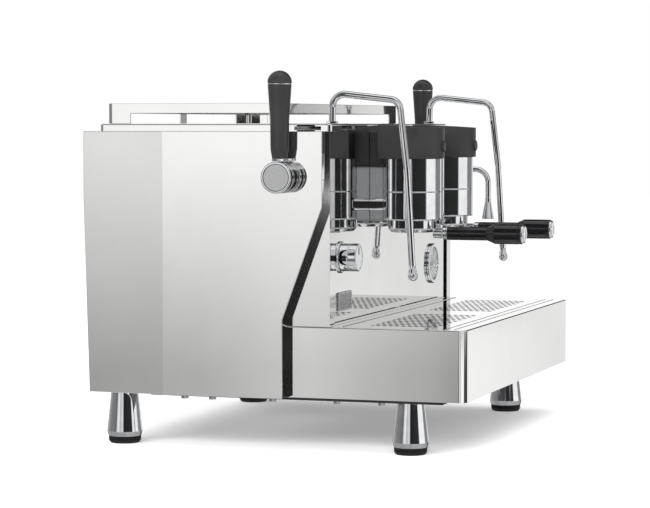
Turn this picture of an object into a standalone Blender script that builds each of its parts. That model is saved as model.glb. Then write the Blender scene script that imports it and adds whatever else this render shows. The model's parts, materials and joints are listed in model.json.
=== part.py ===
"""Two-group semi-automatic espresso machine.

Metres, +Z up. The operator stands at -Y and looks towards +Y, so -X is the operator's left.
The origin is on the floor, under the middle of the whole machine.
"""
import math

import bmesh
import bpy
from mathutils import Matrix, Vector

# Clearances and sheet
GAP = 0.0003
RUN_GAP = 0.0006
SHEET = 0.002
OVERRUN = 0.006
FUSE = 0.001

# Body envelope
CHASSIS_HALF = 0.3206
BOX_FRONT = -0.262
FACE_Y = -0.065
REAR_Y = 0.294
REAR_LEAN = 0.008
PAN_Z = 0.072
SKIRT_Z = 0.0784
DECK_Z = 0.1776
BEND_Z = 0.351
CROWN_Z = 0.4486
COVER_Z = 0.459
RAIL_Z = 0.488
BOX_CORNER = 0.010
BOX_BACK = 0.010
LEDGE_DROP = 0.004
LEDGE_WIDTH = 0.012

# Base pan and the holes in it
PAN_RIM = 0.023
BOLT_RADIUS = 0.0065
BOLT_HEAD = 0.005
BOLT_INSET = 0.0706
BOLT_PLACES_Y = (-0.203, -0.120, -0.055, 0.139, 0.181)
GLAND_INSET = 0.1206
GLAND_Y = 0.235
GLAND_RADIUS = 0.008
GLAND_BORE = 0.005
GLAND_NUT = 0.013
GLAND_NUT_HEIGHT = 0.012
GLAND_DROP = 0.020
GLAND_RISE = 0.012

# Feet
FOOT_INSET = 0.0436
FOOT_FRONT_Y = -0.172
FOOT_REAR_Y = 0.257
FOOT_TOP_RADIUS = 0.019
FOOT_WIDE_RADIUS = 0.0255
FOOT_WIDE_Z = 0.018
FOOT_BEVEL = 0.0025
PAD_RADIUS = 0.023
PAD_HEIGHT = 0.0115

# Side frames and the front panel between them
CHEEK_WIDTH = 0.0226
TOP_FLANGE = 0.034
FOLD_DEPTH = 0.024
SHELF_DEPTH = 0.014

# Side panels
PANEL_STEP = 0.0234
PANEL_TOP_FRONT = -0.064
PANEL_FOOT_FRONT = -0.006
SLANT_TOP_Z = 0.345
SLANT_FOOT_Z = 0.188
CREASE_Y = 0.171
CREASE_TURN = 0.007

# Top cover and cup rail
COVER_INSET = 0.0156
COVER_REAR = 0.2825
COVER_CORNER = 0.006
SIDE_WINDOW = (-0.050, -0.011)
FRONT_WINDOW_INSETS = (0.127, 0.048)
WINDOW_LIP = 0.0015
TRAY_RISE = 0.0005
RAIL_INSET = 0.008
RAIL_FRONT = 0.017
RAIL_REAR = 0.274
RAIL_BAND = 0.014
RAIL_CORNER = 0.008
RAIL_SIDE_FRONT = 0.012
RAIL_SIDE_REAR = 0.036
RAIL_FRONT_END = 0.042
RAIL_REAR_END = 0.060
RAIL_MID_POST = 0.026

# Drip pan and grid
PAN_FLANGE = 0.0015
PAN_DEPTH = 0.0555
PAN_CLEAR = 0.0015
PAN_WALL = 0.0015
PAN_BACK_STEP = 0.004
ZONE_FRONT = -0.212
ZONE_BACK = -0.110
ZONE_LEFT_INSET = 0.0306
ZONE_LEFT_END = -0.035
ZONE_RIGHT_START = 0.017
ZONE_RIGHT_INSET = 0.0536
SLOT_LENGTH = 0.055
SLOT_WIDTH = 0.006
SLOT_PITCH_X = 0.065
SLOT_PITCH_Y = 0.016

# Brewing groups
GROUP_X = {"left": -0.1075, "right": 0.074}
GROUP_REACH = 0.0603
BARREL_RADIUS = 0.0425
BARREL_FOOT = 0.3193
BARREL_HEIGHT = 0.0894
SEAM_RISE = 0.0413
SEAM_DEPTH = 0.0012
SEAM_WIDTH = 0.0016
BARREL_EDGE = 0.002
BAYONET_LIP = 0.0055
BAYONET_RADIUS = 0.037
CAVITY_DEPTH = 0.0257
NECK_HALF = 0.015
NECK_DROP = 0.0028
NECK_HEIGHT = 0.0815
NECK_CORNER = 0.006
BAND_HALF = 0.020
BAND_RISE = 0.0132
BAND_HEIGHT = 0.0183
BAND_CORNER = 0.005

# Group caps and brew buttons
CAP_RADIUS = 0.047
CAP_BACK = 0.022
CAP_FOOT = 0.0003
CAP_HEIGHT = 0.0488
CAP_FALL = 0.0045
CAP_WALL = 0.0025
CAP_NECK_HALF = 0.017
CAP_NECK_DROP = 0.0102
CAP_NECK_HEIGHT = 0.0485
BUTTON_RISE = 0.0173
BUTTON_RADIUS = 0.008
BUTTON_PROUD = 0.0025
BUTTON_STEM = 0.006

# Portafilters
HOLDER_RADIUS = 0.035
HOLDER_DROP = 0.0175
HOLDER_RISE = 0.0172
HOLDER_WALL = 0.0042
HOLDER_LIP = 0.004
HOLDER_LIP_HEIGHT = 0.0045
HOLDER_ROUND = 0.005
EAR_HEIGHT = 0.006
BASKET_WALL = 0.0012
BASKET_FLANGE = 0.0028
BASKET_FLANGE_HEIGHT = 0.0012
BASKET_DEPTH = 0.0265
GASKET_INNER = 0.029
SCREEN_RADIUS = 0.0285
SCREEN_HEIGHT = 0.003
HANDLE_DROP = 0.0188
SPUR_RADIUS = 0.0072
COLLAR_RADIUS = 0.0095
SPUR_LENGTH = 0.011
COLLAR_LENGTH = 0.008
GRIP_SLIM = 0.00965
GRIP_THICK = 0.0145
GRIP_SLIM_LENGTH = 0.0592
GRIP_TAPER = 0.011
GRIP_THICK_LENGTH = 0.0402
GRIP_CAP = 0.004
GRIP_EDGE = 0.0035

# Steam levers
LEVER_Y = -0.009
LEVER_Z = 0.3855
HUB_RADIUS = 0.022
HUB_WAIST = 0.0203
HUB_WAIST_LENGTH = 0.009
HUB_LENGTH = 0.035
HUB_GROOVE = 0.0012
HUB_RING = 0.010
HUB_EDGE = 0.0015
SHAFT_RADIUS = 0.008
SHAFT_PLAY = 0.0004
SHAFT_DEPTH = 0.0386
GRIP_OUT = 0.0175
GRIP_FOOT_RADIUS = 0.011
GRIP_NECK_RADIUS = 0.013
GRIP_MAX_RADIUS = 0.017
GRIP_FERRULE = 0.0035
GRIP_FLARE = 0.0175
GRIP_NECK_Z = 0.0785
GRIP_RING_Z = 0.1275
GRIP_RING = 0.0015
GRIP_TOP_Z = 0.1465

# Steam wands and their valves
WAND_INSET = 0.0656
WAND_Y = -0.050
WAND_RADIUS = 0.00475
WAND_BULB = 0.007
WAND_BULB_LENGTH = 0.022
WAND_TOP = 0.5025
WAND_FRONT_TOP = 0.4915
WAND_REACH = 0.1005
WAND_MID = (0.1115, 0.395)
WAND_END = (0.1213, 0.2405)
WAND_BEND_BACK = 0.018
WAND_BEND_FRONT = 0.016
WAND_BEND_LONG = 0.150
NUT_RADIUS = 0.0081
NUT_HEIGHT = 0.0078
VALVE_OUTER_INSET = 0.0206
VALVE_LENGTH = 0.062
VALVE_FRONT = -0.0565
VALVE_BACK = 0.014
VALVE_HALF_HEIGHT = 0.0175
VALVE_BOSS = 0.014
RISER_RADIUS = 0.007

# Hot-water spout
SPOUT_INSET = 0.1206
SPOUT_Z = 0.3875
SPOUT_REACH = 0.096
SPOUT_RADIUS = 0.0043
SPOUT_BEND = 0.020
SPOUT_FOOT = 0.336
SPOUT_INSIDE = 0.014
SPOUT_NUT = 0.0085
SPOUT_NUT_LENGTH = 0.007
NOZZLE_FOOT = 0.310
NOZZLE_RADIUS = 0.0095
NOZZLE_SLEEVE = 0.007

# Controls on the front panel
GAUGE_INSET = 0.1053
GAUGE_Z = 0.238
GAUGE_RADIUS = 0.0315
GAUGE_PROUD = 0.0045
GAUGE_BODY_RADIUS = 0.0265
GAUGE_BODY_DEPTH = 0.024
GAUGE_BEZEL = 0.006
DIAL_THICK = 0.001
DIAL_SET_BACK = 0.0062
NEEDLE_LENGTH = 0.021
NEEDLE_TAIL = 0.007
NEEDLE_TAIL_HALF = 0.0018
NEEDLE_TIP_HALF = 0.00045
NEEDLE_THICK = 0.0007
NEEDLE_HUB = 0.0028
GLASS_THICK = 0.0014
SWITCH_INSET = 0.057
SWITCH_Z = 0.272
SWITCH_BASE_RADIUS = 0.0225
SWITCH_BASE_PROUD = 0.003
SWITCH_KNOB_RADIUS = 0.0195
SWITCH_PROUD = 0.028
SWITCH_SPINDLE = 0.004
SWITCH_HOUSING = 0.015
SWITCH_HOUSING_DEPTH = 0.028
KNOB_GROOVE = 0.0012
KNOB_EDGE = 0.002
BADGE_INSET = 0.043
BADGE_WIDTH = 0.062
BADGE_Z = (0.1965, 0.2225)
BADGE_THICK = 0.002

# Boiler and what goes with it
BOILER_Y = 0.115
BOILER_Z = 0.290
BOILER_RADIUS = 0.090
BOILER_HALF = 0.190
BOILER_DOME = 0.030
BOILER_WALL = 0.003
BOILER_PORT = 0.005
FLANGE_RADIUS = 0.052
FLANGE_THICK = 0.012
TERMINAL_RADIUS = 0.006
TERMINAL_LENGTH = 0.020
TERMINAL_SPREAD = 0.022
SADDLE_X = 0.130
SADDLE_HALF = 0.004
SADDLE_DEPTH_HALF = 0.058
SADDLE_WRAP = 0.030
GROUP_PIPE_RADIUS = 0.008
GROUP_PIPE_RISES = (0.0107, 0.0527)
STEAM_PIPE_RADIUS = 0.005
STEAM_PIPE_INSET = 0.0506
STEAM_PIPE_Y = 0.080
STEAM_PIPE_Z = 0.345
STEAM_PIPE_BEND = 0.012

# Pump, motor and electrics
MOTOR_INSET = 0.0906
MOTOR_LENGTH = 0.170
MOTOR_Y = 0.228
MOTOR_Z = 0.125
MOTOR_RADIUS = 0.045
MOTOR_FOOT_HALF = 0.030
MOTOR_FOOT_INSET = 0.018
MOTOR_EDGE = 0.006
PUMP_LENGTH = 0.070
PUMP_RADIUS = 0.028
PUMP_PORT = 0.008
PUMP_PORT_HEIGHT = 0.012
CONTROL_PUMP_CLEARANCE = 0.0347
CONTROL_GLAND_CLEARANCE = 0.030
CONTROL_Y = (0.190, 0.275)
CONTROL_TOP = 0.190

# Angles in degrees, and shares
EAR_HALF_ANGLE = 22
WAND_TURN_OUT = 3.4
HANDLE_CROWN_ANGLE = 80
SHARP_ANGLE = 35
NEEDLE_REST = 135
PUMP_PORT_SHARES = (0.3, 0.75)
HOLDER_ROUND_SHARE = 0.3
BULB_SHARES = ((1.0, 0.68), (0.75, 0.76), (0.5, 0.94), (0.32, 1), (0.15, 0.86), (0.04, 0.5), (0, 0.2))

# Counts
TERMINALS = 3

# Facets
SIDES = 24
SMALL_SIDES = 16
HEX_SIDES = 6
TUBE_SIDES = 10
CORNER_STEPS = 3
BEND_STEPS = 4

# A turned profile's height runs along local Z; these send it along world X or Y
ALONG_X = Matrix(((0, 0, 1, 0), (1, 0, 0, 0), (0, 1, 0, 0), (0, 0, 0, 1)))
ALONG_Y = Matrix(((1, 0, 0, 0), (0, 0, 1, 0), (0, 1, 0, 0), (0, 0, 0, 1)))
ALONG_Z = Matrix.Identity(4)
HANDS = {"left": -1, "right": 1}


def at(x, y, z, direction=ALONG_Z):
    return Matrix.Translation((x, y, z)) @ direction


def finish(name, colour, roughness, metallic):
    made = bpy.data.materials.new(name)
    made.use_nodes = True
    shader = made.node_tree.nodes["Principled BSDF"]
    shader.inputs["Base Color"].default_value = (*colour, 1)
    shader.inputs["Roughness"].default_value = roughness
    shader.inputs["Metallic"].default_value = metallic
    return made


def make_finishes():
    return {
        "polished": ((0.78, 0.78, 0.78), 0.08, 1),
        "brushed": ((0.62, 0.62, 0.62), 0.30, 1),
        "chrome": ((0.85, 0.85, 0.86), 0.05, 1),
        "black": ((0.02, 0.02, 0.02), 0.45, 0),
        "gloss_black": ((0.012, 0.012, 0.012), 0.15, 0),
        "soft_black": ((0.03, 0.03, 0.03), 0.5, 0),
        "rubber": ((0.015, 0.015, 0.015), 0.7, 0),
        "copper": ((0.75, 0.42, 0.28), 0.25, 1),
        "brass": ((0.72, 0.55, 0.28), 0.25, 1),
        "white": ((0.85, 0.85, 0.85), 0.4, 0),
        "glass": ((0.9, 0.95, 0.95), 0.03, 0),
        "grey": ((0.25, 0.26, 0.27), 0.5, 0),
    }


# Each of these adds a closed surface to the mesh it is given


def add_loops(bm, loops, closed):
    """Join successive loops of points by faces; a loop of one point is a tip."""
    rings = [[bm.verts.new(point) for point in loop] for loop in loops]
    pairs = list(zip(rings, rings[1:]))
    if closed:
        pairs.append((rings[-1], rings[0]))
    for low, high in pairs:
        count = max(len(low), len(high))
        for i in range(count):
            j = (i + 1) % count
            corners = [low[i % len(low)], low[j % len(low)], high[j % len(high)], high[i % len(high)]]
            bm.faces.new(list(dict.fromkeys(corners)))
    if not closed:
        for ring in (rings[0], rings[-1]):
            if len(ring) > 1:
                bm.faces.new(ring)


def add_turned(bm, profile, place, sides=SIDES, ring=False):
    """Turn (radius, height) points about local Z; a ring's profile is a closed loop."""
    loops = []
    for radius, height in profile:
        if radius == 0:
            loops.append([place @ Vector((0, 0, height))])
            continue
        turn = [2 * math.pi * i / sides for i in range(sides)]
        loops.append([place @ Vector((radius * math.cos(a), radius * math.sin(a), height)) for a in turn])
    add_loops(bm, loops, ring)


def add_prism(bm, outline, place, low, high):
    loops = [[place @ Vector((x, y, level)) for x, y in outline] for level in (low, high)]
    add_loops(bm, loops, False)


def add_box(bm, x, y, z):
    add_prism(bm, ((x[0], y[0]), (x[1], y[0]), (x[1], y[1]), (x[0], y[1])), ALONG_Z, *z)


def arc(centre, radius, start, end, steps):
    """Points of a circle's arc between two angles in degrees, both ends included."""
    turns = [math.radians(start + (end - start) * i / steps) for i in range(steps + 1)]
    return [(centre[0] + radius * math.cos(a), centre[1] + radius * math.sin(a)) for a in turns]


def fillet(corners, closed=True, steps=CORNER_STEPS):
    """Round a path's corners; each corner is (point, radius)."""
    path = []
    count = len(corners)
    for i, (point, radius) in enumerate(corners):
        here = Vector(point)
        if radius == 0 or (not closed and i in (0, count - 1)):
            path.append(tuple(here))
            continue
        back = (Vector(corners[i - 1][0]) - here).normalized()
        ahead = (Vector(corners[(i + 1) % count][0]) - here).normalized()
        half = back.angle(ahead) / 2
        start = here + back * radius / math.tan(half)
        end = here + ahead * radius / math.tan(half)
        centre = here + (back + ahead).normalized() * radius / math.sin(half)
        first, last = (start - centre).to_3d(), (end - centre).to_3d()
        for step in range(steps + 1):
            spoke = first.slerp(last, step / steps) * radius
            path.append(tuple(centre + spoke.resized(len(here))))
    return path


def add_tube(bm, route, radii, sides=TUBE_SIDES):
    """Sweep a circle along a route that lies in one plane or turns gently."""
    points = [Vector(point) for point in route]
    side = None
    loops = []
    for i, point in enumerate(points):
        run = (points[min(i + 1, len(points) - 1)] - points[max(i - 1, 0)]).normalized()
        if side is None:
            side = run.orthogonal().normalized()
        side = (side - run * side.dot(run)).normalized()
        other = run.cross(side)
        turn = [2 * math.pi * k / sides for k in range(sides)]
        loops.append([point + (side * math.cos(a) + other * math.sin(a)) * radii[i] for a in turn])
    add_loops(bm, loops, False)


def inset(outline, distance):
    """Move each side of an anticlockwise outline inwards by a distance."""
    moved = []
    for i, here in enumerate(outline):
        before = (Vector(here) - Vector(outline[i - 1])).normalized()
        after = (Vector(outline[(i + 1) % len(outline)]) - Vector(here)).normalized()
        normals = Vector((-before.y, before.x)), Vector((-after.y, after.x))
        mitre = (normals[0] + normals[1]).normalized()
        moved.append(tuple(Vector(here) + mitre * distance / mitre.dot(normals[0])))
    return moved


# A node, a hidden cutting or joining shape, and the two ways to apply one


def make(name, bm, surface, pivot=(0, 0, 0), carrier=None):
    """Make a named node, with its origin at the pivot, from a mesh in world coordinates."""
    bmesh.ops.recalc_face_normals(bm, faces=bm.faces)
    bmesh.ops.translate(bm, verts=bm.verts, vec=-Vector(pivot))
    mesh = bpy.data.meshes.new(name)
    bm.to_mesh(mesh)
    bm.free()
    mesh.shade_smooth()
    mesh.set_sharp_from_angle(angle=math.radians(SHARP_ANGLE))
    mesh.materials.append(surface)
    made = bpy.data.objects.new(name, mesh)
    made.location = pivot
    bpy.context.scene.collection.objects.link(made)
    if carrier:
        made.parent = carrier
        made.location = Vector(pivot) - carrier.location
    return made


def tool(name, bm, carrier=None):
    made = make(name, bm, None, carrier=carrier)
    made.hide_render = True
    made.display_type = "WIRE"
    return made


def shape(add, *details, **options):
    bm = bmesh.new()
    add(bm, *details, **options)
    return bm


def boolean(target, other, operation):
    step = target.modifiers.new(operation.lower(), "BOOLEAN")
    step.operation = operation
    step.solver = "EXACT"
    step.object = other


def cut(target, bm, name="cutter", carrier=None):
    boolean(target, tool(f"{target.name}_{name}", bm, carrier), "DIFFERENCE")


def fuse(target, bm, name="piece", carrier=None):
    boolean(target, tool(f"{target.name}_{name}", bm, carrier), "UNION")


def pivot_point(name, place):
    """An empty on a joint's axis, which carries the pieces that move together."""
    empty = bpy.data.objects.new(name, None)
    empty.location = place
    bpy.context.scene.collection.objects.link(empty)
    return empty


# Sizes that follow from the ones above

BOX_INNER = CHASSIS_HALF - SHEET
BOLT_X = CHASSIS_HALF - BOLT_INSET
GLAND_X = CHASSIS_HALF - GLAND_INSET
MOTOR_START = MOTOR_INSET - CHASSIS_HALF
MOTOR_END = MOTOR_START + MOTOR_LENGTH
PUMP_START = MOTOR_END + GAP
PUMP_END = PUMP_START + PUMP_LENGTH
CONTROL_X = (PUMP_END + CONTROL_PUMP_CLEARANCE, GLAND_X - CONTROL_GLAND_CLEARANCE)
FOOT_X = CHASSIS_HALF - FOOT_INSET
COVER_HALF = CHASSIS_HALF - COVER_INSET
RAIL_HALF = COVER_HALF - RAIL_INSET
ZONE_LEFT = (ZONE_LEFT_INSET - CHASSIS_HALF, ZONE_LEFT_END)
ZONE_RIGHT = (ZONE_RIGHT_START, CHASSIS_HALF - ZONE_RIGHT_INSET)
WAND_X = CHASSIS_HALF - WAND_INSET
VALVE_OUTER_X = CHASSIS_HALF - VALVE_OUTER_INSET
VALVE_INNER_X = VALVE_OUTER_X - VALVE_LENGTH
STEAM_PIPE_X = CHASSIS_HALF - STEAM_PIPE_INSET
SPOUT_X = CHASSIS_HALF - SPOUT_INSET
GAUGE_X = CHASSIS_HALF - GAUGE_INSET
SWITCH_X = SWITCH_INSET - CHASSIS_HALF
BADGE_X = BADGE_INSET - CHASSIS_HALF
BARREL_TOP = BARREL_FOOT + BARREL_HEIGHT
BARREL_SEAM = BARREL_FOOT + SEAM_RISE
CAVITY_TOP = BARREL_FOOT + CAVITY_DEPTH
NECK_FOOT = BARREL_FOOT - NECK_DROP
NECK_TOP = NECK_FOOT + NECK_HEIGHT
BAND_FOOT = BARREL_FOOT + BAND_RISE
BAND_TOP = BAND_FOOT + BAND_HEIGHT
CAP_REAR_TOP = BARREL_TOP + CAP_HEIGHT
CAP_NECK_FOOT = BARREL_TOP - CAP_NECK_DROP
CAP_NECK_TOP = CAP_NECK_FOOT + CAP_NECK_HEIGHT
BUTTON_Z = BARREL_TOP + BUTTON_RISE
GROUP_PIPE_Z = [BARREL_FOOT + rise for rise in GROUP_PIPE_RISES]
HOLDER_FOOT = BARREL_FOOT - HOLDER_DROP
HOLDER_TOP = BARREL_FOOT + HOLDER_RISE
HANDLE_Z = BARREL_FOOT - HANDLE_DROP
GROUP_Y = FACE_Y - GROUP_REACH
PANEL_INNER = CHASSIS_HALF + GAP
PANEL_OUTER = CHASSIS_HALF + PANEL_STEP
COVER_PLATE = COVER_Z - SHEET
FRAME_TOP = CROWN_Z - GAP
FRAME_FOOT = DECK_Z + GAP
SHELF_FRONT = FACE_Y - SHELF_DEPTH
LEDGE_TOP = DECK_Z - LEDGE_DROP
FLANGE_TOP = LEDGE_TOP + GAP + PAN_FLANGE
HUB_BACK = PANEL_OUTER + GAP
HUB_FACE = HUB_BACK + HUB_LENGTH
LEVER_X = HUB_BACK + GRIP_OUT
NUT_TOP = CROWN_Z + NUT_HEIGHT
WAND_FOOT = CROWN_Z + FUSE


def rear_y(z):
    """The rear panel's outer face: upright down to the bend, then leaning forward."""
    if z >= BEND_Z:
        return REAR_Y
    return REAR_Y - REAR_LEAN * (BEND_Z - z) / (BEND_Z - SKIRT_Z)


def base(surface):
    """Shallow pan that carries the feet and everything inside."""
    half = BOX_INNER - GAP
    front = BOX_FRONT + SHEET + GAP
    rear = rear_y(SKIRT_Z) - SHEET - GAP
    corner = BOX_CORNER - SHEET
    outline = fillet((((-half, front), corner), ((half, front), corner),
                      ((half, rear), 0), ((-half, rear), 0)))
    pan = make("base_pan", shape(add_prism, outline, ALONG_Z, PAN_Z, PAN_Z + PAN_RIM), surface["black"])
    well = inset(outline, SHEET)
    cut(pan, shape(add_prism, well, ALONG_Z, PAN_Z + SHEET, PAN_Z + PAN_RIM + OVERRUN), "well")
    hole = ((0, -OVERRUN), (GLAND_RADIUS + GAP, -OVERRUN), (GLAND_RADIUS + GAP, OVERRUN), (0, OVERRUN))
    cut(pan, shape(add_turned, hole, at(GLAND_X, GLAND_Y, PAN_Z), SMALL_SIDES), "gland_hole")

    bolts = bmesh.new()
    head = ((0, -BOLT_HEAD), (BOLT_RADIUS, -BOLT_HEAD), (BOLT_RADIUS, FUSE), (0, FUSE))
    for x in (-BOLT_X, BOLT_X):
        for y in BOLT_PLACES_Y:
            add_turned(bolts, head, at(x, y, PAN_Z), HEX_SIDES)
    fuse(pan, bolts, "bolts")

    low = -GLAND_DROP
    nut = low + GLAND_NUT_HEIGHT
    body = ((GLAND_BORE, low), (GLAND_RADIUS + SHEET, low), (GLAND_NUT, low + SHEET), (GLAND_NUT, nut),
            (GLAND_NUT, -GAP), (GLAND_RADIUS, -GAP), (GLAND_RADIUS, GLAND_RISE), (GLAND_BORE, GLAND_RISE))
    make("power_gland", shape(add_turned, body, at(GLAND_X, GLAND_Y, PAN_Z), SMALL_SIDES, ring=True),
         surface["black"])


def feet(surface):
    """Four chrome cones on rubber pads."""
    top = PAN_Z - GAP
    bottom = PAD_HEIGHT + GAP
    cone = ((0, bottom), (PAD_RADIUS, bottom), (FOOT_WIDE_RADIUS, bottom + FOOT_BEVEL),
            (FOOT_WIDE_RADIUS, FOOT_WIDE_Z), (FOOT_TOP_RADIUS, top), (0, top))
    pad = ((0, 0), (PAD_RADIUS - SHEET, 0), (PAD_RADIUS, SHEET), (PAD_RADIUS, PAD_HEIGHT), (0, PAD_HEIGHT))
    for end, y in (("front", FOOT_FRONT_Y), ("rear", FOOT_REAR_Y)):
        for hand, sign in HANDS.items():
            place = at(sign * FOOT_X, y, 0)
            make(f"foot_{end}_{hand}", shape(add_turned, cone, place, SMALL_SIDES), surface["chrome"])
            make(f"foot_pad_{end}_{hand}", shape(add_turned, pad, place, SMALL_SIDES), surface["rubber"])


def u_outline(outer, front, corner, wall, back):
    """A band round the front and both sides, as one closed outline."""
    path = fillet((((-outer, back), 0), ((-outer, front), corner),
                   ((outer, front), corner), ((outer, back), 0)))
    inner = outer - wall
    tight = corner - wall if corner > wall else 0
    lining = fillet((((inner, back), 0), ((inner, front + wall), tight), ((-inner, front + wall), tight),
                     ((-inner, back), 0)))
    return path + lining


def drip_box(surface):
    """Polished skirt with an inward ledge that the drip pan hangs on."""
    wall = u_outline(CHASSIS_HALF, BOX_FRONT, BOX_CORNER, SHEET, BOX_BACK)
    box = make("drip_box", shape(add_prism, wall, ALONG_Z, SKIRT_Z, DECK_Z), surface["polished"])
    ledge = u_outline(BOX_INNER + FUSE, BOX_FRONT + SHEET - FUSE, BOX_CORNER - SHEET, LEDGE_WIDTH + FUSE,
                      BOX_BACK - FUSE)
    fuse(box, shape(add_prism, ledge, ALONG_Z, LEDGE_TOP - SHEET, LEDGE_TOP), "ledge")


def tray_outline(margin):
    """The pan's flange and the grid share this outline inside the drip box."""
    half = BOX_INNER - margin
    front = BOX_FRONT + SHEET + margin
    corner = BOX_CORNER - SHEET - margin
    back = SHELF_FRONT - margin
    return fillet((((-half, front), corner), ((half, front), corner),
                   ((half, back), 0), ((-half, back), 0)))


def drip_tray(surface):
    """Pan that hangs on the drip box's ledge, and the slotted grid on top of it."""
    pan_rest = pivot_point("drip_pan_lift", (0, SHELF_FRONT, LEDGE_TOP))
    flange_foot = LEDGE_TOP + GAP
    pan = make("drip_pan", shape(add_prism, tray_outline(GAP), ALONG_Z, flange_foot, FLANGE_TOP),
               surface["brushed"], pan_rest.location, pan_rest)
    half = BOX_INNER - LEDGE_WIDTH - PAN_CLEAR
    front = BOX_FRONT + SHEET + LEDGE_WIDTH + PAN_CLEAR
    back = SHELF_FRONT - PAN_BACK_STEP
    floor = FLANGE_TOP - PAN_DEPTH
    middle = (flange_foot + FLANGE_TOP) / 2
    fuse(pan, shape(add_box, (-half, half), (front, back), (floor, middle)), "bowl", pan_rest)
    half -= PAN_WALL
    cut(pan, shape(add_box, (-half, half), (front + PAN_WALL, back - PAN_WALL),
                   (floor + PAN_WALL, FLANGE_TOP + OVERRUN)), "well", pan_rest)

    grid_rest = pivot_point("drip_grid_lift", (0, SHELF_FRONT, FLANGE_TOP))
    grid = make("drip_grid", shape(add_prism, tray_outline(GAP), ALONG_Z, FLANGE_TOP + GAP, DECK_Z),
                surface["brushed"], grid_rest.location, grid_rest)
    slots = bmesh.new()
    height = (FLANGE_TOP - OVERRUN, DECK_Z + OVERRUN)
    for low, high in (ZONE_LEFT, ZONE_RIGHT):
        columns = round((high - low - SLOT_LENGTH) / SLOT_PITCH_X)
        rows = round((ZONE_BACK - ZONE_FRONT - SLOT_WIDTH) / SLOT_PITCH_Y)
        for column in range(columns + 1):
            for row in range(rows + 1):
                x = low + column * (high - low - SLOT_LENGTH) / columns
                y = ZONE_FRONT + row * (ZONE_BACK - ZONE_FRONT - SLOT_WIDTH) / rows
                add_box(slots, (x, x + SLOT_LENGTH), (y, y + SLOT_WIDTH), height)
    cut(grid, slots, "slots", grid_rest)


def shaft_hole(sign, low, high):
    """A hole for the lever's shaft between two distances from the middle."""
    radius = SHAFT_RADIUS + SHAFT_PLAY
    disc = ((0, low), (radius, low), (radius, high), (0, high))
    place = at(0, LEVER_Y, LEVER_Z, Matrix.Scale(sign, 4, (1, 0, 0)) @ ALONG_X)
    return shape(add_turned, disc, place, SMALL_SIDES)


def side_frame(hand, sign, surface):
    """Side plate with a front flange, the polished cheek, and a top flange."""
    inner = CHASSIS_HALF - CHEEK_WIDTH
    back = rear_y(SKIRT_Z) - SHEET - GAP
    top_back = REAR_Y - SHEET - GAP
    outline = ((BOX_BACK + GAP, SKIRT_Z), (back, SKIRT_Z), (top_back, BEND_Z), (top_back, FRAME_TOP),
               (FACE_Y, FRAME_TOP), (FACE_Y, FRAME_FOOT), (BOX_BACK + GAP, FRAME_FOOT))
    sheet = shape(add_prism, outline, ALONG_X, sign * BOX_INNER, sign * CHASSIS_HALF)
    plate = make(f"side_frame_{hand}", sheet, surface["polished"])
    across = sorted((sign * inner, sign * (BOX_INNER + FUSE)))
    fuse(plate, shape(add_box, across, (FACE_Y, FACE_Y + SHEET), (FRAME_FOOT, FRAME_TOP)), "cheek")
    across = sorted((sign * (CHASSIS_HALF - TOP_FLANGE), sign * (BOX_INNER + FUSE)))
    depth = (FACE_Y + SHEET + GAP, top_back - FUSE)
    fuse(plate, shape(add_box, across, depth, (FRAME_TOP - SHEET, FRAME_TOP)), "top")
    cut(plate, shaft_hole(sign, BOX_INNER - OVERRUN, CHASSIS_HALF + OVERRUN), "shaft_hole")


def side_panel(hand, sign, surface):
    """Open shell folded at the crease, so that its rear part turns inwards."""
    outline = ((PANEL_FOOT_FRONT, SKIRT_Z), (CREASE_Y, SKIRT_Z), (rear_y(SKIRT_Z), SKIRT_Z), (REAR_Y, BEND_Z),
               (REAR_Y, CROWN_Z), (CREASE_Y, CROWN_Z), (PANEL_TOP_FRONT, CROWN_Z),
               (PANEL_TOP_FRONT, SLANT_TOP_Z), (PANEL_FOOT_FRONT, SLANT_FOOT_Z))

    def out(y, back_off):
        turn = max(y - CREASE_Y, 0) / (REAR_Y - CREASE_Y) * CREASE_TURN
        return sign * (PANEL_OUTER - turn - back_off)

    front = (0, 1, 5, 6, 7, 8)
    rear = (1, 2, 3, 4, 5)
    lining = inset(outline, SHEET)
    bm = bmesh.new()
    rows = [[bm.verts.new((out(y, 0), y, z)) for y, z in outline],
            [bm.verts.new((sign * PANEL_INNER, y, z)) for y, z in outline],
            [bm.verts.new((sign * PANEL_INNER, y, z)) for y, z in lining],
            [bm.verts.new((out(y, SHEET), y, z)) for y, z in lining]]
    for one, other in zip(rows, rows[1:]):
        for i in range(len(outline)):
            j = (i + 1) % len(outline)
            bm.faces.new((one[i], one[j], other[j], other[i]))
    for row in (rows[0], rows[-1]):
        for part in (front, rear):
            bm.faces.new([row[i] for i in part])
    panel = make(f"side_panel_{hand}", bm, surface["polished"])
    cut(panel, shaft_hole(sign, PANEL_INNER - OVERRUN, PANEL_OUTER + OVERRUN), "shaft_hole")


def rear_panel(surface):
    """Sheet between the side panels, upright above and leaning forward below, with a top fold."""
    foot = rear_y(SKIRT_Z)
    outline = ((foot, SKIRT_Z), (REAR_Y, BEND_Z), (REAR_Y, FRAME_TOP), (REAR_Y - SHEET, FRAME_TOP),
               (REAR_Y - SHEET, BEND_Z), (foot - SHEET, SKIRT_Z))
    panel = make("rear_panel", shape(add_prism, outline, ALONG_X, -CHASSIS_HALF, CHASSIS_HALF),
                 surface["polished"])
    inner = CHASSIS_HALF - TOP_FLANGE - GAP
    fuse(panel, shape(add_box, (-inner, inner), (REAR_Y - TOP_FLANGE, REAR_Y - FUSE),
                      (FRAME_TOP - SHEET, FRAME_TOP)), "fold")


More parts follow.
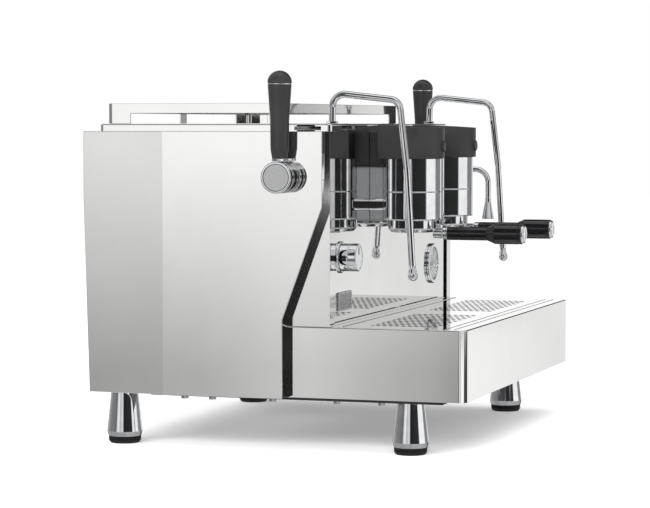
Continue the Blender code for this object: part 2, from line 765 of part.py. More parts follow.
def front_panel(surface):
    """Mirror-polished backsplash with a shelf at its foot and a fold at its head."""
    half = CHASSIS_HALF - CHEEK_WIDTH - GAP
    fold_half = CHASSIS_HALF - TOP_FLANGE - GAP
    shelf_half = BOX_INNER - GAP
    panel = make("front_panel", shape(add_box, (-half, half), (FACE_Y, FACE_Y + SHEET),
                                      (DECK_Z - FUSE, FRAME_TOP)), surface["polished"])
    fuse(panel, shape(add_box, (-shelf_half, shelf_half), (SHELF_FRONT, FACE_Y + SHEET),
                      (DECK_Z - SHEET, DECK_Z)), "shelf")
    fuse(panel, shape(add_box, (-fold_half, fold_half), (FACE_Y + FUSE, FACE_Y + FOLD_DEPTH - GAP),
                      (FRAME_TOP - SHEET, FRAME_TOP)), "fold")
    holes = bmesh.new()

    def drill(x, z, radius, sides):
        disc = ((0, -OVERRUN), (radius, -OVERRUN), (radius, SHEET + OVERRUN), (0, SHEET + OVERRUN))
        add_turned(holes, disc, at(x, FACE_Y, z, ALONG_Y), sides)

    for x in GROUP_X.values():
        for z in GROUP_PIPE_Z:
            drill(x, z, GROUP_PIPE_RADIUS + GAP, SMALL_SIDES)
    drill(SPOUT_X, SPOUT_Z, SPOUT_RADIUS + GAP, SMALL_SIDES)
    drill(GAUGE_X, GAUGE_Z, GAUGE_BODY_RADIUS + GAP, SIDES)
    drill(SWITCH_X, SWITCH_Z, SWITCH_HOUSING + GAP, SIDES)
    for sign in HANDS.values():
        radius = RISER_RADIUS + GAP
        disc = ((0, -OVERRUN), (radius, -OVERRUN), (radius, OVERRUN), (0, OVERRUN))
        add_turned(holes, disc, at(sign * WAND_X, WAND_Y, FRAME_TOP), SMALL_SIDES)
    cut(panel, holes, "holes")


def rail_outline():
    """The cup rail's outline, which also bounds the tray inside it."""
    return fillet((((-RAIL_HALF, RAIL_FRONT), RAIL_CORNER / 2), ((RAIL_HALF, RAIL_FRONT), RAIL_CORNER / 2),
                   ((RAIL_HALF, RAIL_REAR), RAIL_CORNER), ((-RAIL_HALF, RAIL_REAR), RAIL_CORNER)))


def top_cover(surface):
    """Tray lid, slightly raised inside the rail, with a rim that has windows near the front corners."""
    outline = fillet((((-COVER_HALF, FACE_Y), COVER_CORNER), ((COVER_HALF, FACE_Y), COVER_CORNER),
                      ((COVER_HALF, COVER_REAR), COVER_CORNER), ((-COVER_HALF, COVER_REAR), COVER_CORNER)))
    cover = make("top_cover", shape(add_prism, outline, ALONG_Z, CROWN_Z, COVER_Z), surface["polished"])
    cut(cover, shape(add_prism, inset(outline, SHEET), ALONG_Z, CROWN_Z - OVERRUN, COVER_PLATE), "hollow")
    windows = bmesh.new()
    height = (CROWN_Z + WINDOW_LIP, COVER_PLATE - WINDOW_LIP)
    for sign in HANDS.values():
        across = sorted((sign * (COVER_HALF - OVERRUN), sign * (COVER_HALF + OVERRUN)))
        add_box(windows, across, SIDE_WINDOW, height)
        across = sorted(sign * (COVER_HALF - back) for back in FRONT_WINDOW_INSETS)
        add_box(windows, across, (FACE_Y - OVERRUN, FACE_Y + SHEET + FUSE), height)
    cut(cover, windows, "windows")
    holes = bmesh.new()
    radius = NUT_RADIUS - FUSE
    for sign in HANDS.values():
        disc = ((0, -OVERRUN / 2), (radius, -OVERRUN / 2), (radius, OVERRUN), (0, OVERRUN))
        add_turned(holes, disc, at(sign * WAND_X, WAND_Y, COVER_PLATE), SMALL_SIDES)
    cut(cover, holes, "wand_holes")
    tray = inset(rail_outline(), SHEET + FUSE)
    fuse(cover, shape(add_prism, tray, ALONG_Z, COVER_Z - FUSE, COVER_Z + TRAY_RISE), "tray")


def cup_rail(surface):
    """Upright band round the cup tray, open below its top band."""
    foot = COVER_Z + GAP
    slot_top = RAIL_Z - RAIL_BAND
    outline = rail_outline()
    rail = make("cup_rail", shape(add_prism, outline, ALONG_Z, foot, RAIL_Z), surface["polished"])
    cut(rail, shape(add_prism, inset(outline, SHEET), ALONG_Z, foot - OVERRUN, RAIL_Z + OVERRUN), "well")
    slots = bmesh.new()
    height = (foot - OVERRUN, slot_top)
    for sign in HANDS.values():
        across = sorted((sign * (RAIL_HALF - OVERRUN), sign * (RAIL_HALF + OVERRUN)))
        add_box(slots, across, (RAIL_FRONT + RAIL_SIDE_FRONT, RAIL_REAR - RAIL_SIDE_REAR), height)
        along = sorted((sign * RAIL_MID_POST / 2, sign * (RAIL_HALF - RAIL_REAR_END)))
        add_box(slots, along, (RAIL_REAR - OVERRUN, RAIL_REAR + OVERRUN), height)
    along = (-RAIL_HALF + RAIL_FRONT_END, RAIL_HALF - RAIL_FRONT_END)
    add_box(slots, along, (RAIL_FRONT - OVERRUN, RAIL_FRONT + OVERRUN), height)
    cut(rail, slots, "slots")


# Brewing groups


def group(hand, surface):
    """Neck, hollow barrel and black cap with its button."""
    x = GROUP_X[hand]
    centre = at(x, GROUP_Y, 0)
    barrel_skin = BARREL_RADIUS + GAP
    neck_back = FACE_Y - GAP

    corners = [((-NECK_HALF, NECK_FOOT), NECK_CORNER), ((NECK_HALF, NECK_FOOT), NECK_CORNER),
               ((NECK_HALF, NECK_TOP), NECK_CORNER), ((-NECK_HALF, NECK_TOP), NECK_CORNER)]
    outline = [(x + a, z) for a, z in fillet(corners)]
    block = shape(add_prism, outline, ALONG_Y, GROUP_Y, neck_back)
    neck = make(f"group_neck_{hand}", block, surface["chrome"])
    corners = [((-BAND_HALF, BAND_FOOT), BAND_CORNER), ((BAND_HALF, BAND_FOOT), BAND_CORNER),
               ((BAND_HALF, BAND_TOP), BAND_CORNER), ((-BAND_HALF, BAND_TOP), BAND_CORNER)]
    outline = [(x + a, z) for a, z in fillet(corners)]
    band_front = GROUP_Y + BARREL_RADIUS * math.cos(math.asin(min(BAND_HALF / BARREL_RADIUS, 1)))
    fuse(neck, shape(add_prism, outline, ALONG_Y, band_front, neck_back), "band")
    room = ((0, NECK_FOOT - OVERRUN), (barrel_skin, NECK_FOOT - OVERRUN), (barrel_skin, NECK_TOP + OVERRUN),
            (0, NECK_TOP + OVERRUN))
    cut(neck, shape(add_turned, room, centre), "barrel_room")
    pipes = bmesh.new()
    start = neck_back - FUSE
    straight = ((0, start), (GROUP_PIPE_RADIUS, start), (GROUP_PIPE_RADIUS, BOILER_Y), (0, BOILER_Y))
    for z in GROUP_PIPE_Z:
        add_turned(pipes, straight, at(x, 0, z, ALONG_Y), TUBE_SIDES)
    fuse(neck, pipes, "pipes")
    cut(neck, shape(add_turned, boiler_profile(GAP), at(0, BOILER_Y, BOILER_Z, ALONG_X)), "boiler_room")

    lip_radius = HOLDER_RADIUS + RUN_GAP
    cavity = BAYONET_RADIUS + RUN_GAP
    top = BARREL_TOP
    body = ((0, CAVITY_TOP), (cavity, CAVITY_TOP), (cavity, BARREL_FOOT + BAYONET_LIP),
            (lip_radius, BARREL_FOOT + BAYONET_LIP), (lip_radius, BARREL_FOOT),
            (BARREL_RADIUS - BARREL_EDGE, BARREL_FOOT), (BARREL_RADIUS, BARREL_FOOT + BARREL_EDGE),
            (BARREL_RADIUS, BARREL_SEAM - SEAM_WIDTH / 2), (BARREL_RADIUS - SEAM_DEPTH, BARREL_SEAM),
            (BARREL_RADIUS, BARREL_SEAM + SEAM_WIDTH / 2), (BARREL_RADIUS, top), (0, top))
    make(f"group_barrel_{hand}", shape(add_turned, body, centre), surface["chrome"])
    group_cap(hand, x, surface)


def group_cap(hand, x, surface):
    """D-shaped black cover over the barrel, with a short neck back to the front panel."""
    foot = BARREL_TOP + CAP_FOOT
    back = FACE_Y - CAP_BACK
    plan = arc((x, GROUP_Y), CAP_RADIUS, 180, 360, SIDES // 2)
    plan += [(x + CAP_RADIUS, back), (x - CAP_RADIUS, back)]
    cap = make(f"group_cap_{hand}", shape(add_prism, plan, ALONG_Z, foot, CAP_REAR_TOP), surface["black"])
    slope_run = back - (GROUP_Y - CAP_RADIUS)
    wedge = ((back + OVERRUN, CAP_REAR_TOP), (back + OVERRUN, CAP_REAR_TOP + OVERRUN),
             (back - slope_run - OVERRUN, CAP_REAR_TOP + OVERRUN),
             (back - slope_run - OVERRUN, CAP_REAR_TOP - CAP_FALL * (slope_run + OVERRUN) / slope_run),
             (back, CAP_REAR_TOP))
    cut(cap, shape(add_prism, wedge, ALONG_X, x - CAP_RADIUS - OVERRUN, x + CAP_RADIUS + OVERRUN), "slope")
    neck = (x - CAP_NECK_HALF, x + CAP_NECK_HALF)
    fuse(cap, shape(add_box, neck, (back - CAP_WALL, FACE_Y - GAP), (CAP_NECK_FOOT, CAP_NECK_TOP)), "neck")
    skin = BARREL_RADIUS + GAP
    room = ((0, CAP_NECK_FOOT - OVERRUN), (skin, CAP_NECK_FOOT - OVERRUN), (skin, foot), (0, foot))
    cut(cap, shape(add_turned, room, at(x, GROUP_Y, 0)), "barrel_room")
    lining = arc((x, GROUP_Y), CAP_RADIUS - CAP_WALL, 180, 360, SIDES // 2)
    lining += [(x + CAP_RADIUS - CAP_WALL, back - CAP_WALL), (x - CAP_RADIUS + CAP_WALL, back - CAP_WALL)]
    ceiling = CAP_REAR_TOP - CAP_FALL - CAP_WALL
    cut(cap, shape(add_prism, lining, ALONG_Z, foot - OVERRUN, ceiling), "hollow")

    front = GROUP_Y - CAP_RADIUS
    bore = ((0, -OVERRUN), (BUTTON_RADIUS + GAP, -OVERRUN), (BUTTON_RADIUS + GAP, CAP_WALL + OVERRUN),
            (0, CAP_WALL + OVERRUN))
    cut(cap, shape(add_turned, bore, at(x, front, BUTTON_Z, ALONG_Y), SMALL_SIDES), "button_hole")
    button_rest = pivot_point(f"brew_button_{hand}_press", (x, front, BUTTON_Z))
    press = ((0, -BUTTON_PROUD), (BUTTON_RADIUS - FUSE, -BUTTON_PROUD), (BUTTON_RADIUS, -BUTTON_PROUD + FUSE),
             (BUTTON_RADIUS, BUTTON_STEM), (0, BUTTON_STEM))
    make(f"brew_button_{hand}", shape(add_turned, press, at(x, front, BUTTON_Z, ALONG_Y), SMALL_SIDES),
         surface["gloss_black"], button_rest.location, button_rest)


def group_seals(hand, surface):
    """Rubber gasket and steel shower screen inside the barrel."""
    centre = at(GROUP_X[hand], GROUP_Y, 0)
    top = CAVITY_TOP - GAP
    basket_top = HOLDER_TOP + GAP + BASKET_FLANGE_HEIGHT + GAP
    seal = ((GASKET_INNER, basket_top), (BAYONET_RADIUS - GAP, basket_top), (BAYONET_RADIUS - GAP, top),
            (GASKET_INNER, top))
    disc = ((0, top - SCREEN_HEIGHT), (SCREEN_RADIUS, top - SCREEN_HEIGHT), (SCREEN_RADIUS, top), (0, top))
    make(f"group_gasket_{hand}", shape(add_turned, seal, centre, SMALL_SIDES, ring=True), surface["rubber"])
    make(f"shower_screen_{hand}", shape(add_turned, disc, centre, SMALL_SIDES), surface["brushed"])


def portafilter(hand, surface):
    """Open-bottomed filter holder with bayonet ears, its basket and its handle."""
    x = GROUP_X[hand]
    rest = pivot_point(f"portafilter_{hand}_turn", (x, GROUP_Y, HANDLE_Z))
    centre = at(x, GROUP_Y, 0)
    bore = HOLDER_RADIUS - HOLDER_WALL
    ear_foot = BARREL_FOOT + BAYONET_LIP + GAP
    round_part = HOLDER_ROUND * HOLDER_ROUND_SHARE
    body = ((bore - HOLDER_LIP, HOLDER_FOOT), (HOLDER_RADIUS - HOLDER_ROUND, HOLDER_FOOT),
            (HOLDER_RADIUS - round_part, HOLDER_FOOT + round_part),
            (HOLDER_RADIUS, HOLDER_FOOT + HOLDER_ROUND), (HOLDER_RADIUS, HOLDER_TOP), (bore, HOLDER_TOP),
            (bore, HOLDER_FOOT + HOLDER_LIP_HEIGHT), (bore - HOLDER_LIP, HOLDER_FOOT + HOLDER_LIP_HEIGHT))
    holder = make(f"filter_holder_{hand}", shape(add_turned, body, centre, ring=True), surface["chrome"],
                  rest.location, rest)
    ears = bmesh.new()
    sweep = 2 * EAR_HALF_ANGLE
    for start in (-EAR_HALF_ANGLE, 180 - EAR_HALF_ANGLE):
        outer = arc((x, GROUP_Y), BAYONET_RADIUS, start, start + sweep, CORNER_STEPS)
        inner = arc((x, GROUP_Y), HOLDER_RADIUS - FUSE, start + sweep, start, CORNER_STEPS)
        add_prism(ears, outer + inner, ALONG_Z, ear_foot, ear_foot + EAR_HEIGHT)
    fuse(holder, ears, "ears", rest)
    spur_start = -(HOLDER_RADIUS - HOLDER_WALL / 2)
    spur_end = -(HOLDER_RADIUS + SPUR_LENGTH)
    collar_end = spur_end - COLLAR_LENGTH
    spur = ((0, spur_start), (SPUR_RADIUS, spur_start), (SPUR_RADIUS, spur_end),
            (COLLAR_RADIUS, spur_end - SHEET), (COLLAR_RADIUS, collar_end), (0, collar_end))
    axis = at(x, GROUP_Y, HANDLE_Z, ALONG_Y)
    fuse(holder, shape(add_turned, spur, axis, SMALL_SIDES), "spur", rest)

    slim = collar_end - GAP
    taper = slim - GRIP_SLIM_LENGTH
    thick = taper - GRIP_TAPER
    band = thick - GRIP_THICK_LENGTH
    tip = band - GRIP_CAP
    grip = ((0, slim), (COLLAR_RADIUS, slim), (GRIP_SLIM, slim - SHEET), (GRIP_SLIM, taper),
            (GRIP_THICK, thick), (GRIP_THICK, band), (GRIP_THICK - GRIP_EDGE, tip), (0, tip))
    make(f"portafilter_handle_{hand}", shape(add_turned, grip, axis, SMALL_SIDES), surface["gloss_black"],
         rest.location, rest)

    skin = bore - GAP
    flange = skin + BASKET_FLANGE
    top = HOLDER_TOP + GAP
    floor = top - BASKET_DEPTH
    cup = ((0, floor), (skin, floor), (skin, top), (flange, top), (flange, top + BASKET_FLANGE_HEIGHT),
           (skin - BASKET_WALL, top + BASKET_FLANGE_HEIGHT), (skin - BASKET_WALL, floor + BASKET_WALL),
           (0, floor + BASKET_WALL))
    make(f"filter_basket_{hand}", shape(add_turned, cup, centre, SMALL_SIDES), surface["brushed"],
         rest.location, rest)


# Steam levers, valves and wands


def steam_lever(hand, sign, surface):
    """Grooved chrome hub on a shaft into the valve, and its black handle."""
    rest = pivot_point(f"lever_{hand}_turn", (sign * PANEL_OUTER, LEVER_Y, LEVER_Z))
    mirror = Matrix.Scale(sign, 4, (1, 0, 0)) @ ALONG_X
    axis = at(0, LEVER_Y, LEVER_Z, mirror)
    waist = HUB_BACK + HUB_WAIST_LENGTH
    ring = HUB_FACE - HUB_RING
    hub = ((0, CHASSIS_HALF - SHAFT_DEPTH / 2), (SHAFT_RADIUS, CHASSIS_HALF - SHAFT_DEPTH / 2),
           (SHAFT_RADIUS, HUB_BACK), (HUB_WAIST, HUB_BACK), (HUB_WAIST, waist), (HUB_RADIUS, waist),
           (HUB_RADIUS, ring - HUB_GROOVE), (HUB_RADIUS - HUB_GROOVE, ring), (HUB_RADIUS, ring + HUB_GROOVE),
           (HUB_RADIUS, HUB_FACE - HUB_EDGE), (HUB_RADIUS - HUB_EDGE, HUB_FACE), (0, HUB_FACE))
    make(f"lever_hub_{hand}", shape(add_turned, hub, axis), surface["chrome"], rest.location, rest)
    foot = HUB_RADIUS + GAP
    seam = GRIP_RING_Z
    dome = GRIP_MAX_RADIUS
    crown = [(radius, height) for height, radius in
             arc((GRIP_TOP_Z - dome, 0), dome, HANDLE_CROWN_ANGLE, 0, CORNER_STEPS)[:-1]]
    grip = [(0, foot), (GRIP_FOOT_RADIUS, foot), (GRIP_FOOT_RADIUS, foot + GRIP_FERRULE),
            (GRIP_NECK_RADIUS - FUSE / 2, foot + GRIP_FLARE), (GRIP_NECK_RADIUS, GRIP_NECK_Z),
            (GRIP_MAX_RADIUS - FUSE, seam - GRIP_RING), (GRIP_MAX_RADIUS, seam)]
    grip += crown + [(0, GRIP_TOP_Z)]
    upright = at(sign * LEVER_X, LEVER_Y, LEVER_Z)
    make(f"lever_handle_{hand}", shape(add_turned, grip, upright, SMALL_SIDES), surface["soft_black"],
         rest.location, rest)


def steam_valve(hand, sign, surface):
    """Brass body on the side frame, with a riser to the wand and a bore for the lever's shaft."""
    across = sorted((sign * VALVE_INNER_X, sign * VALVE_OUTER_X))
    valve = make(f"steam_valve_{hand}",
                 shape(add_box, across, (VALVE_FRONT, VALVE_BACK),
                       (LEVER_Z - VALVE_HALF_HEIGHT, LEVER_Z + VALVE_HALF_HEIGHT)), surface["brass"])
    mirror = Matrix.Scale(sign, 4, (1, 0, 0)) @ ALONG_X
    boss = ((0, VALVE_OUTER_X - OVERRUN), (VALVE_BOSS, VALVE_OUTER_X - OVERRUN),
            (VALVE_BOSS, BOX_INNER - GAP), (0, BOX_INNER - GAP))
    fuse(valve, shape(add_turned, boss, at(0, LEVER_Y, LEVER_Z, mirror), SMALL_SIDES), "boss")
    upright = at(sign * WAND_X, WAND_Y, 0)
    top = CROWN_Z + 2 * FUSE
    riser = ((0, LEVER_Z), (RISER_RADIUS, LEVER_Z), (RISER_RADIUS, top), (0, top))
    fuse(valve, shape(add_turned, riser, upright, SMALL_SIDES), "riser")
    nut = ((0, CROWN_Z), (NUT_RADIUS, CROWN_Z), (NUT_RADIUS, NUT_TOP), (0, NUT_TOP))
    fuse(valve, shape(add_turned, nut, upright, HEX_SIDES), "nut")
    bore = ((0, WAND_FOOT - GAP), (WAND_RADIUS + RUN_GAP, WAND_FOOT - GAP),
            (WAND_RADIUS + RUN_GAP, NUT_TOP + OVERRUN), (0, NUT_TOP + OVERRUN))
    cut(valve, shape(add_turned, bore, upright, TUBE_SIDES), "wand_socket")
    corners = (((sign * STEAM_PIPE_X, VALVE_BACK - FUSE, LEVER_Z), 0),
               ((sign * STEAM_PIPE_X, STEAM_PIPE_Y, LEVER_Z), STEAM_PIPE_BEND),
               ((sign * STEAM_PIPE_X, STEAM_PIPE_Y, STEAM_PIPE_Z), STEAM_PIPE_BEND),
               ((sign * (BOILER_HALF - BOILER_DOME), STEAM_PIPE_Y, STEAM_PIPE_Z), 0))
    route = fillet(corners, closed=False)
    fuse(valve, shape(add_tube, route, [STEAM_PIPE_RADIUS] * len(route)), "steam_pipe")
    cut(valve, shape(add_turned, boiler_profile(GAP), at(0, BOILER_Y, BOILER_Z, ALONG_X)), "boiler_room")
    cut(valve, shaft_hole(sign, CHASSIS_HALF - SHAFT_DEPTH / 2 - GAP, CHASSIS_HALF), "bore")


def wand_route():
    """The tube's centre line as (reach, height) points, with its bends rounded."""
    corners = (((0, WAND_FOOT), 0), ((FUSE, WAND_TOP), WAND_BEND_BACK),
               ((WAND_REACH, WAND_FRONT_TOP), WAND_BEND_FRONT), (WAND_MID, WAND_BEND_LONG), (WAND_END, 0))
    return fillet(corners, closed=False, steps=BEND_STEPS)


def steam_wand(hand, sign, surface):
    """Bent tube that ends in a rounded tip."""
    rest = pivot_point(f"wand_{hand}_turn", (sign * WAND_X, WAND_Y, CROWN_Z))
    route = wand_route()
    end = Vector(route[-1])
    run = (end - Vector(route[-2])).normalized()
    radii = [WAND_RADIUS] * (len(route) - 1)
    path = list(route[:-1])
    for back_share, radius_share in BULB_SHARES:
        path.append(tuple(end - run * WAND_BULB_LENGTH * back_share))
        radii.append(WAND_BULB * radius_share)
    turn_out = math.radians(WAND_TURN_OUT)
    direction = Vector((sign * math.sin(turn_out), -math.cos(turn_out), 0))
    base_point = Vector((sign * WAND_X, WAND_Y, 0))
    points = [base_point + direction * reach + Vector((0, 0, height)) for reach, height in path]
    make(f"steam_wand_{hand}", shape(add_tube, points, radii), surface["chrome"], rest.location, rest)


def hot_water(surface):
    """Bent spout through the front panel, and its conical nozzle."""
    corners = (((SPOUT_INSIDE, SPOUT_Z), 0), ((-SPOUT_REACH, SPOUT_Z), SPOUT_BEND),
               ((-SPOUT_REACH, SPOUT_FOOT), 0))
    route = fillet(corners, closed=False, steps=BEND_STEPS)
    points = [(SPOUT_X, FACE_Y + reach, height) for reach, height in route]
    spout = make("hot_water_spout", shape(add_tube, points, [SPOUT_RADIUS] * len(points)), surface["chrome"])
    nut = ((0, -SPOUT_NUT_LENGTH), (SPOUT_NUT, -SPOUT_NUT_LENGTH), (SPOUT_NUT, -GAP), (0, -GAP))
    fuse(spout, shape(add_turned, nut, at(SPOUT_X, FACE_Y, SPOUT_Z, ALONG_Y), HEX_SIDES), "nut")
    sleeve = SPOUT_RADIUS + FUSE / 2
    sleeve_top = SPOUT_FOOT + NOZZLE_SLEEVE
    cone = ((0, NOZZLE_FOOT), (NOZZLE_RADIUS, NOZZLE_FOOT), (sleeve, SPOUT_FOOT), (sleeve, sleeve_top),
            (0, sleeve_top))
    fuse(spout, shape(add_turned, cone, at(SPOUT_X, FACE_Y - SPOUT_REACH, 0), SMALL_SIDES), "nozzle")


# Gauge, switch and badge plate


def gauge(surface):
    """Case through the front panel, with dial, needle and glass inside its bezel."""
    axis = at(GAUGE_X, FACE_Y, GAUGE_Z, ALONG_Y)
    bore = GAUGE_RADIUS - GAUGE_BEZEL
    front = -GAUGE_PROUD
    seat = front + DIAL_SET_BACK + DIAL_THICK + GAP
    case = ((0, seat), (bore, seat), (bore, front), (GAUGE_RADIUS - FUSE, front),
            (GAUGE_RADIUS, front + FUSE), (GAUGE_RADIUS, -GAP), (GAUGE_BODY_RADIUS, -GAP),
            (GAUGE_BODY_RADIUS, GAUGE_BODY_DEPTH), (0, GAUGE_BODY_DEPTH))
    make("gauge_case", shape(add_turned, case, axis), surface["chrome"])
    inner = bore - GAP
    face = front + DIAL_SET_BACK
    dial = ((0, face), (inner, face), (inner, face + DIAL_THICK), (0, face + DIAL_THICK))
    make("gauge_dial", shape(add_turned, dial, axis), surface["white"])
    glass_back = front + GLASS_THICK + FUSE
    glass = ((0, front + FUSE), (inner, front + FUSE), (inner, glass_back), (0, glass_back))
    make("gauge_glass", shape(add_turned, glass, axis), surface["glass"])

    rest = pivot_point("gauge_needle_turn", (GAUGE_X, FACE_Y + face, GAUGE_Z))
    hub_back = face - GAP
    hub = ((0, glass_back + GAP), (NEEDLE_HUB, glass_back + GAP), (NEEDLE_HUB, hub_back), (0, hub_back))
    needle = make("gauge_needle", shape(add_turned, hub, axis, TUBE_SIDES), surface["black"],
                  rest.location, rest)
    blade = ((-NEEDLE_TAIL_HALF, -NEEDLE_TAIL), (NEEDLE_TAIL_HALF, -NEEDLE_TAIL),
             (NEEDLE_TIP_HALF, NEEDLE_LENGTH), (-NEEDLE_TIP_HALF, NEEDLE_LENGTH))
    blade_back = (glass_back + hub_back - NEEDLE_THICK) / 2
    lean = axis @ Matrix.Rotation(math.radians(NEEDLE_REST), 4, "Z")
    fuse(needle, shape(add_prism, blade, lean, blade_back, blade_back + NEEDLE_THICK), "blade", rest)


def switch(surface):
    """Ring on the front panel, with its housing behind, and the rotary knob."""
    axis = at(SWITCH_X, FACE_Y, SWITCH_Z, ALONG_Y)
    spindle = SWITCH_SPINDLE + GAP
    front = -SWITCH_BASE_PROUD
    plinth = ((0, GAP), (spindle, GAP), (spindle, front), (SWITCH_BASE_RADIUS - FUSE, front),
              (SWITCH_BASE_RADIUS, front + FUSE), (SWITCH_BASE_RADIUS, -GAP), (SWITCH_HOUSING, -GAP),
              (SWITCH_HOUSING, SWITCH_HOUSING_DEPTH), (0, SWITCH_HOUSING_DEPTH))
    make("switch_base", shape(add_turned, plinth, axis), surface["chrome"])
    rest = pivot_point("switch_knob_turn", (SWITCH_X, FACE_Y, SWITCH_Z))
    back = front - GAP
    face = -SWITCH_PROUD
    middle = (back + face) / 2
    knob = ((0, 0), (SWITCH_SPINDLE, 0), (SWITCH_SPINDLE, back), (SWITCH_KNOB_RADIUS, back),
            (SWITCH_KNOB_RADIUS, middle + KNOB_GROOVE), (SWITCH_KNOB_RADIUS - KNOB_GROOVE, middle),
            (SWITCH_KNOB_RADIUS, middle - KNOB_GROOVE), (SWITCH_KNOB_RADIUS, face + KNOB_EDGE),
            (SWITCH_KNOB_RADIUS - KNOB_EDGE, face), (0, face))
    make("switch_knob", shape(add_turned, knob, axis), surface["chrome"], rest.location, rest)


def badge_plate(surface):
    across = (BADGE_X, BADGE_X + BADGE_WIDTH)
    plate = shape(add_box, across, (FACE_Y - GAP - BADGE_THICK, FACE_Y - GAP), BADGE_Z)
    make("badge_plate", plate, surface["brushed"])


# Inside the body


def boiler_profile(margin):
    """The boiler's outline about its long axis, or the room it needs at a given margin."""
    shoulder = BOILER_HALF - BOILER_DOME
    turns = [math.radians(90 * i / CORNER_STEPS) for i in range(CORNER_STEPS)]
    radius = BOILER_RADIUS + margin
    height = BOILER_DOME + margin
    dome = [(radius * math.cos(a), shoulder + height * math.sin(a)) for a in turns]
    left = [(out, -along) for out, along in reversed(dome)]
    end = BOILER_HALF + margin
    return [(0, -end)] + left + dome + [(0, end)]


def boiler(surface):
    """Horizontal boiler in a cradle, with its heating element's flange and terminals at the right end."""
    axis = at(0, BOILER_Y, BOILER_Z, ALONG_X)
    drum = make("boiler", shape(add_turned, boiler_profile(0), axis), surface["copper"])
    end = BOILER_HALF + FLANGE_THICK
    shoulder = BOILER_HALF - BOILER_DOME
    plate = ((0, shoulder), (FLANGE_RADIUS, shoulder), (FLANGE_RADIUS, end), (0, end))
    fuse(drum, shape(add_turned, plate, axis, SMALL_SIDES), "element_flange")
    pins = bmesh.new()
    post = ((0, end - FUSE), (TERMINAL_RADIUS, end - FUSE), (TERMINAL_RADIUS, end + TERMINAL_LENGTH),
            (0, end + TERMINAL_LENGTH))
    for turn in range(TERMINALS):
        swing = 2 * math.pi * turn / TERMINALS
        y = BOILER_Y + TERMINAL_SPREAD * math.cos(swing)
        z = BOILER_Z + TERMINAL_SPREAD * math.sin(swing)
        add_turned(pins, post, at(0, y, z, ALONG_X), TUBE_SIDES)
    fuse(drum, pins, "terminals")
    cut(drum, shape(add_turned, boiler_profile(-BOILER_WALL), axis, SMALL_SIDES), "inside")
    port = ((0, -BOILER_RADIUS - OVERRUN), (BOILER_PORT, -BOILER_RADIUS - OVERRUN), (BOILER_PORT, 0), (0, 0))
    cut(drum, shape(add_turned, port, at(0, BOILER_Y, BOILER_Z), TUBE_SIDES), "drain_port")

    floor = PAN_Z + SHEET + GAP
    top = BOILER_Z - BOILER_RADIUS + SADDLE_WRAP
    depth = (BOILER_Y - SADDLE_DEPTH_HALF, BOILER_Y + SADDLE_DEPTH_HALF)
    cradle = make("boiler_cradle", shape(add_box, (-SADDLE_X, SADDLE_X), depth, (floor, floor + SHEET)),
                  surface["brushed"])
    saddles = bmesh.new()
    for sign in HANDS.values():
        across = (sign * SADDLE_X - SADDLE_HALF, sign * SADDLE_X + SADDLE_HALF)
        add_box(saddles, across, depth, (floor, top))
    fuse(cradle, saddles, "saddles")
    cut(cradle, shape(add_turned, boiler_profile(GAP), axis), "boiler_room")


def pump(surface):
    """Motor on its foot and the rotary pump on the motor's face."""
    floor = PAN_Z + SHEET + GAP
    low = MOTOR_START
    high = MOTOR_END
    axis = at(0, MOTOR_Y, MOTOR_Z, ALONG_X)
    can = ((0, low), (MOTOR_RADIUS - MOTOR_EDGE, low), (MOTOR_RADIUS, low + MOTOR_EDGE),
           (MOTOR_RADIUS, high - MOTOR_EDGE), (MOTOR_RADIUS - MOTOR_EDGE, high), (0, high))
    motor = make("pump_motor", shape(add_turned, can, axis), surface["grey"])
    across = (low + MOTOR_FOOT_INSET, high - MOTOR_FOOT_INSET)
    depth = (MOTOR_Y - MOTOR_FOOT_HALF, MOTOR_Y + MOTOR_FOOT_HALF)
    fuse(motor, shape(add_box, across, depth, (floor, MOTOR_Z - MOTOR_RADIUS / 2)), "foot")
    head = ((0, PUMP_START), (PUMP_RADIUS, PUMP_START), (PUMP_RADIUS, PUMP_END), (0, PUMP_END))
    body = make("pump", shape(add_turned, head, axis, SMALL_SIDES), surface["brass"])
    ports = bmesh.new()
    top = MOTOR_Z + PUMP_RADIUS + PUMP_PORT_HEIGHT
    post = ((0, MOTOR_Z), (PUMP_PORT, MOTOR_Z), (PUMP_PORT, top), (0, top))
    for share in PUMP_PORT_SHARES:
        add_turned(ports, post, at(PUMP_START + PUMP_LENGTH * share, MOTOR_Y, 0), TUBE_SIDES)
    fuse(body, ports, "ports")


def control_box(surface):
    box = shape(add_box, CONTROL_X, CONTROL_Y, (PAN_Z + SHEET + GAP, CONTROL_TOP))
    make("control_box", box, surface["grey"])


def main():
    for old in list(bpy.data.objects):
        bpy.data.objects.remove(old, do_unlink=True)
    surface = {name: finish(name, *look) for name, look in make_finishes().items()}
    base(surface)
    feet(surface)
    drip_box(surface)
    drip_tray(surface)
    front_panel(surface)
    rear_panel(surface)
    top_cover(surface)
    cup_rail(surface)
    for hand, sign in HANDS.items():
        side_frame(hand, sign, surface)
        side_panel(hand, sign, surface)
        group(hand, surface)
        group_seals(hand, surface)
        portafilter(hand, surface)
        steam_lever(hand, sign, surface)
        steam_valve(hand, sign, surface)
        steam_wand(hand, sign, surface)
    hot_water(surface)
    gauge(surface)
    switch(surface)
    badge_plate(surface)
    boiler(surface)
    pump(surface)
    control_box(surface)


main()
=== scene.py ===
"""Looks of a two-group espresso machine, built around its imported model.

Metres, +Z up. The operator stands at -Y and looks towards +Y.
"""
import json
import math

import bmesh
import bpy
from mathutils import Matrix, Vector

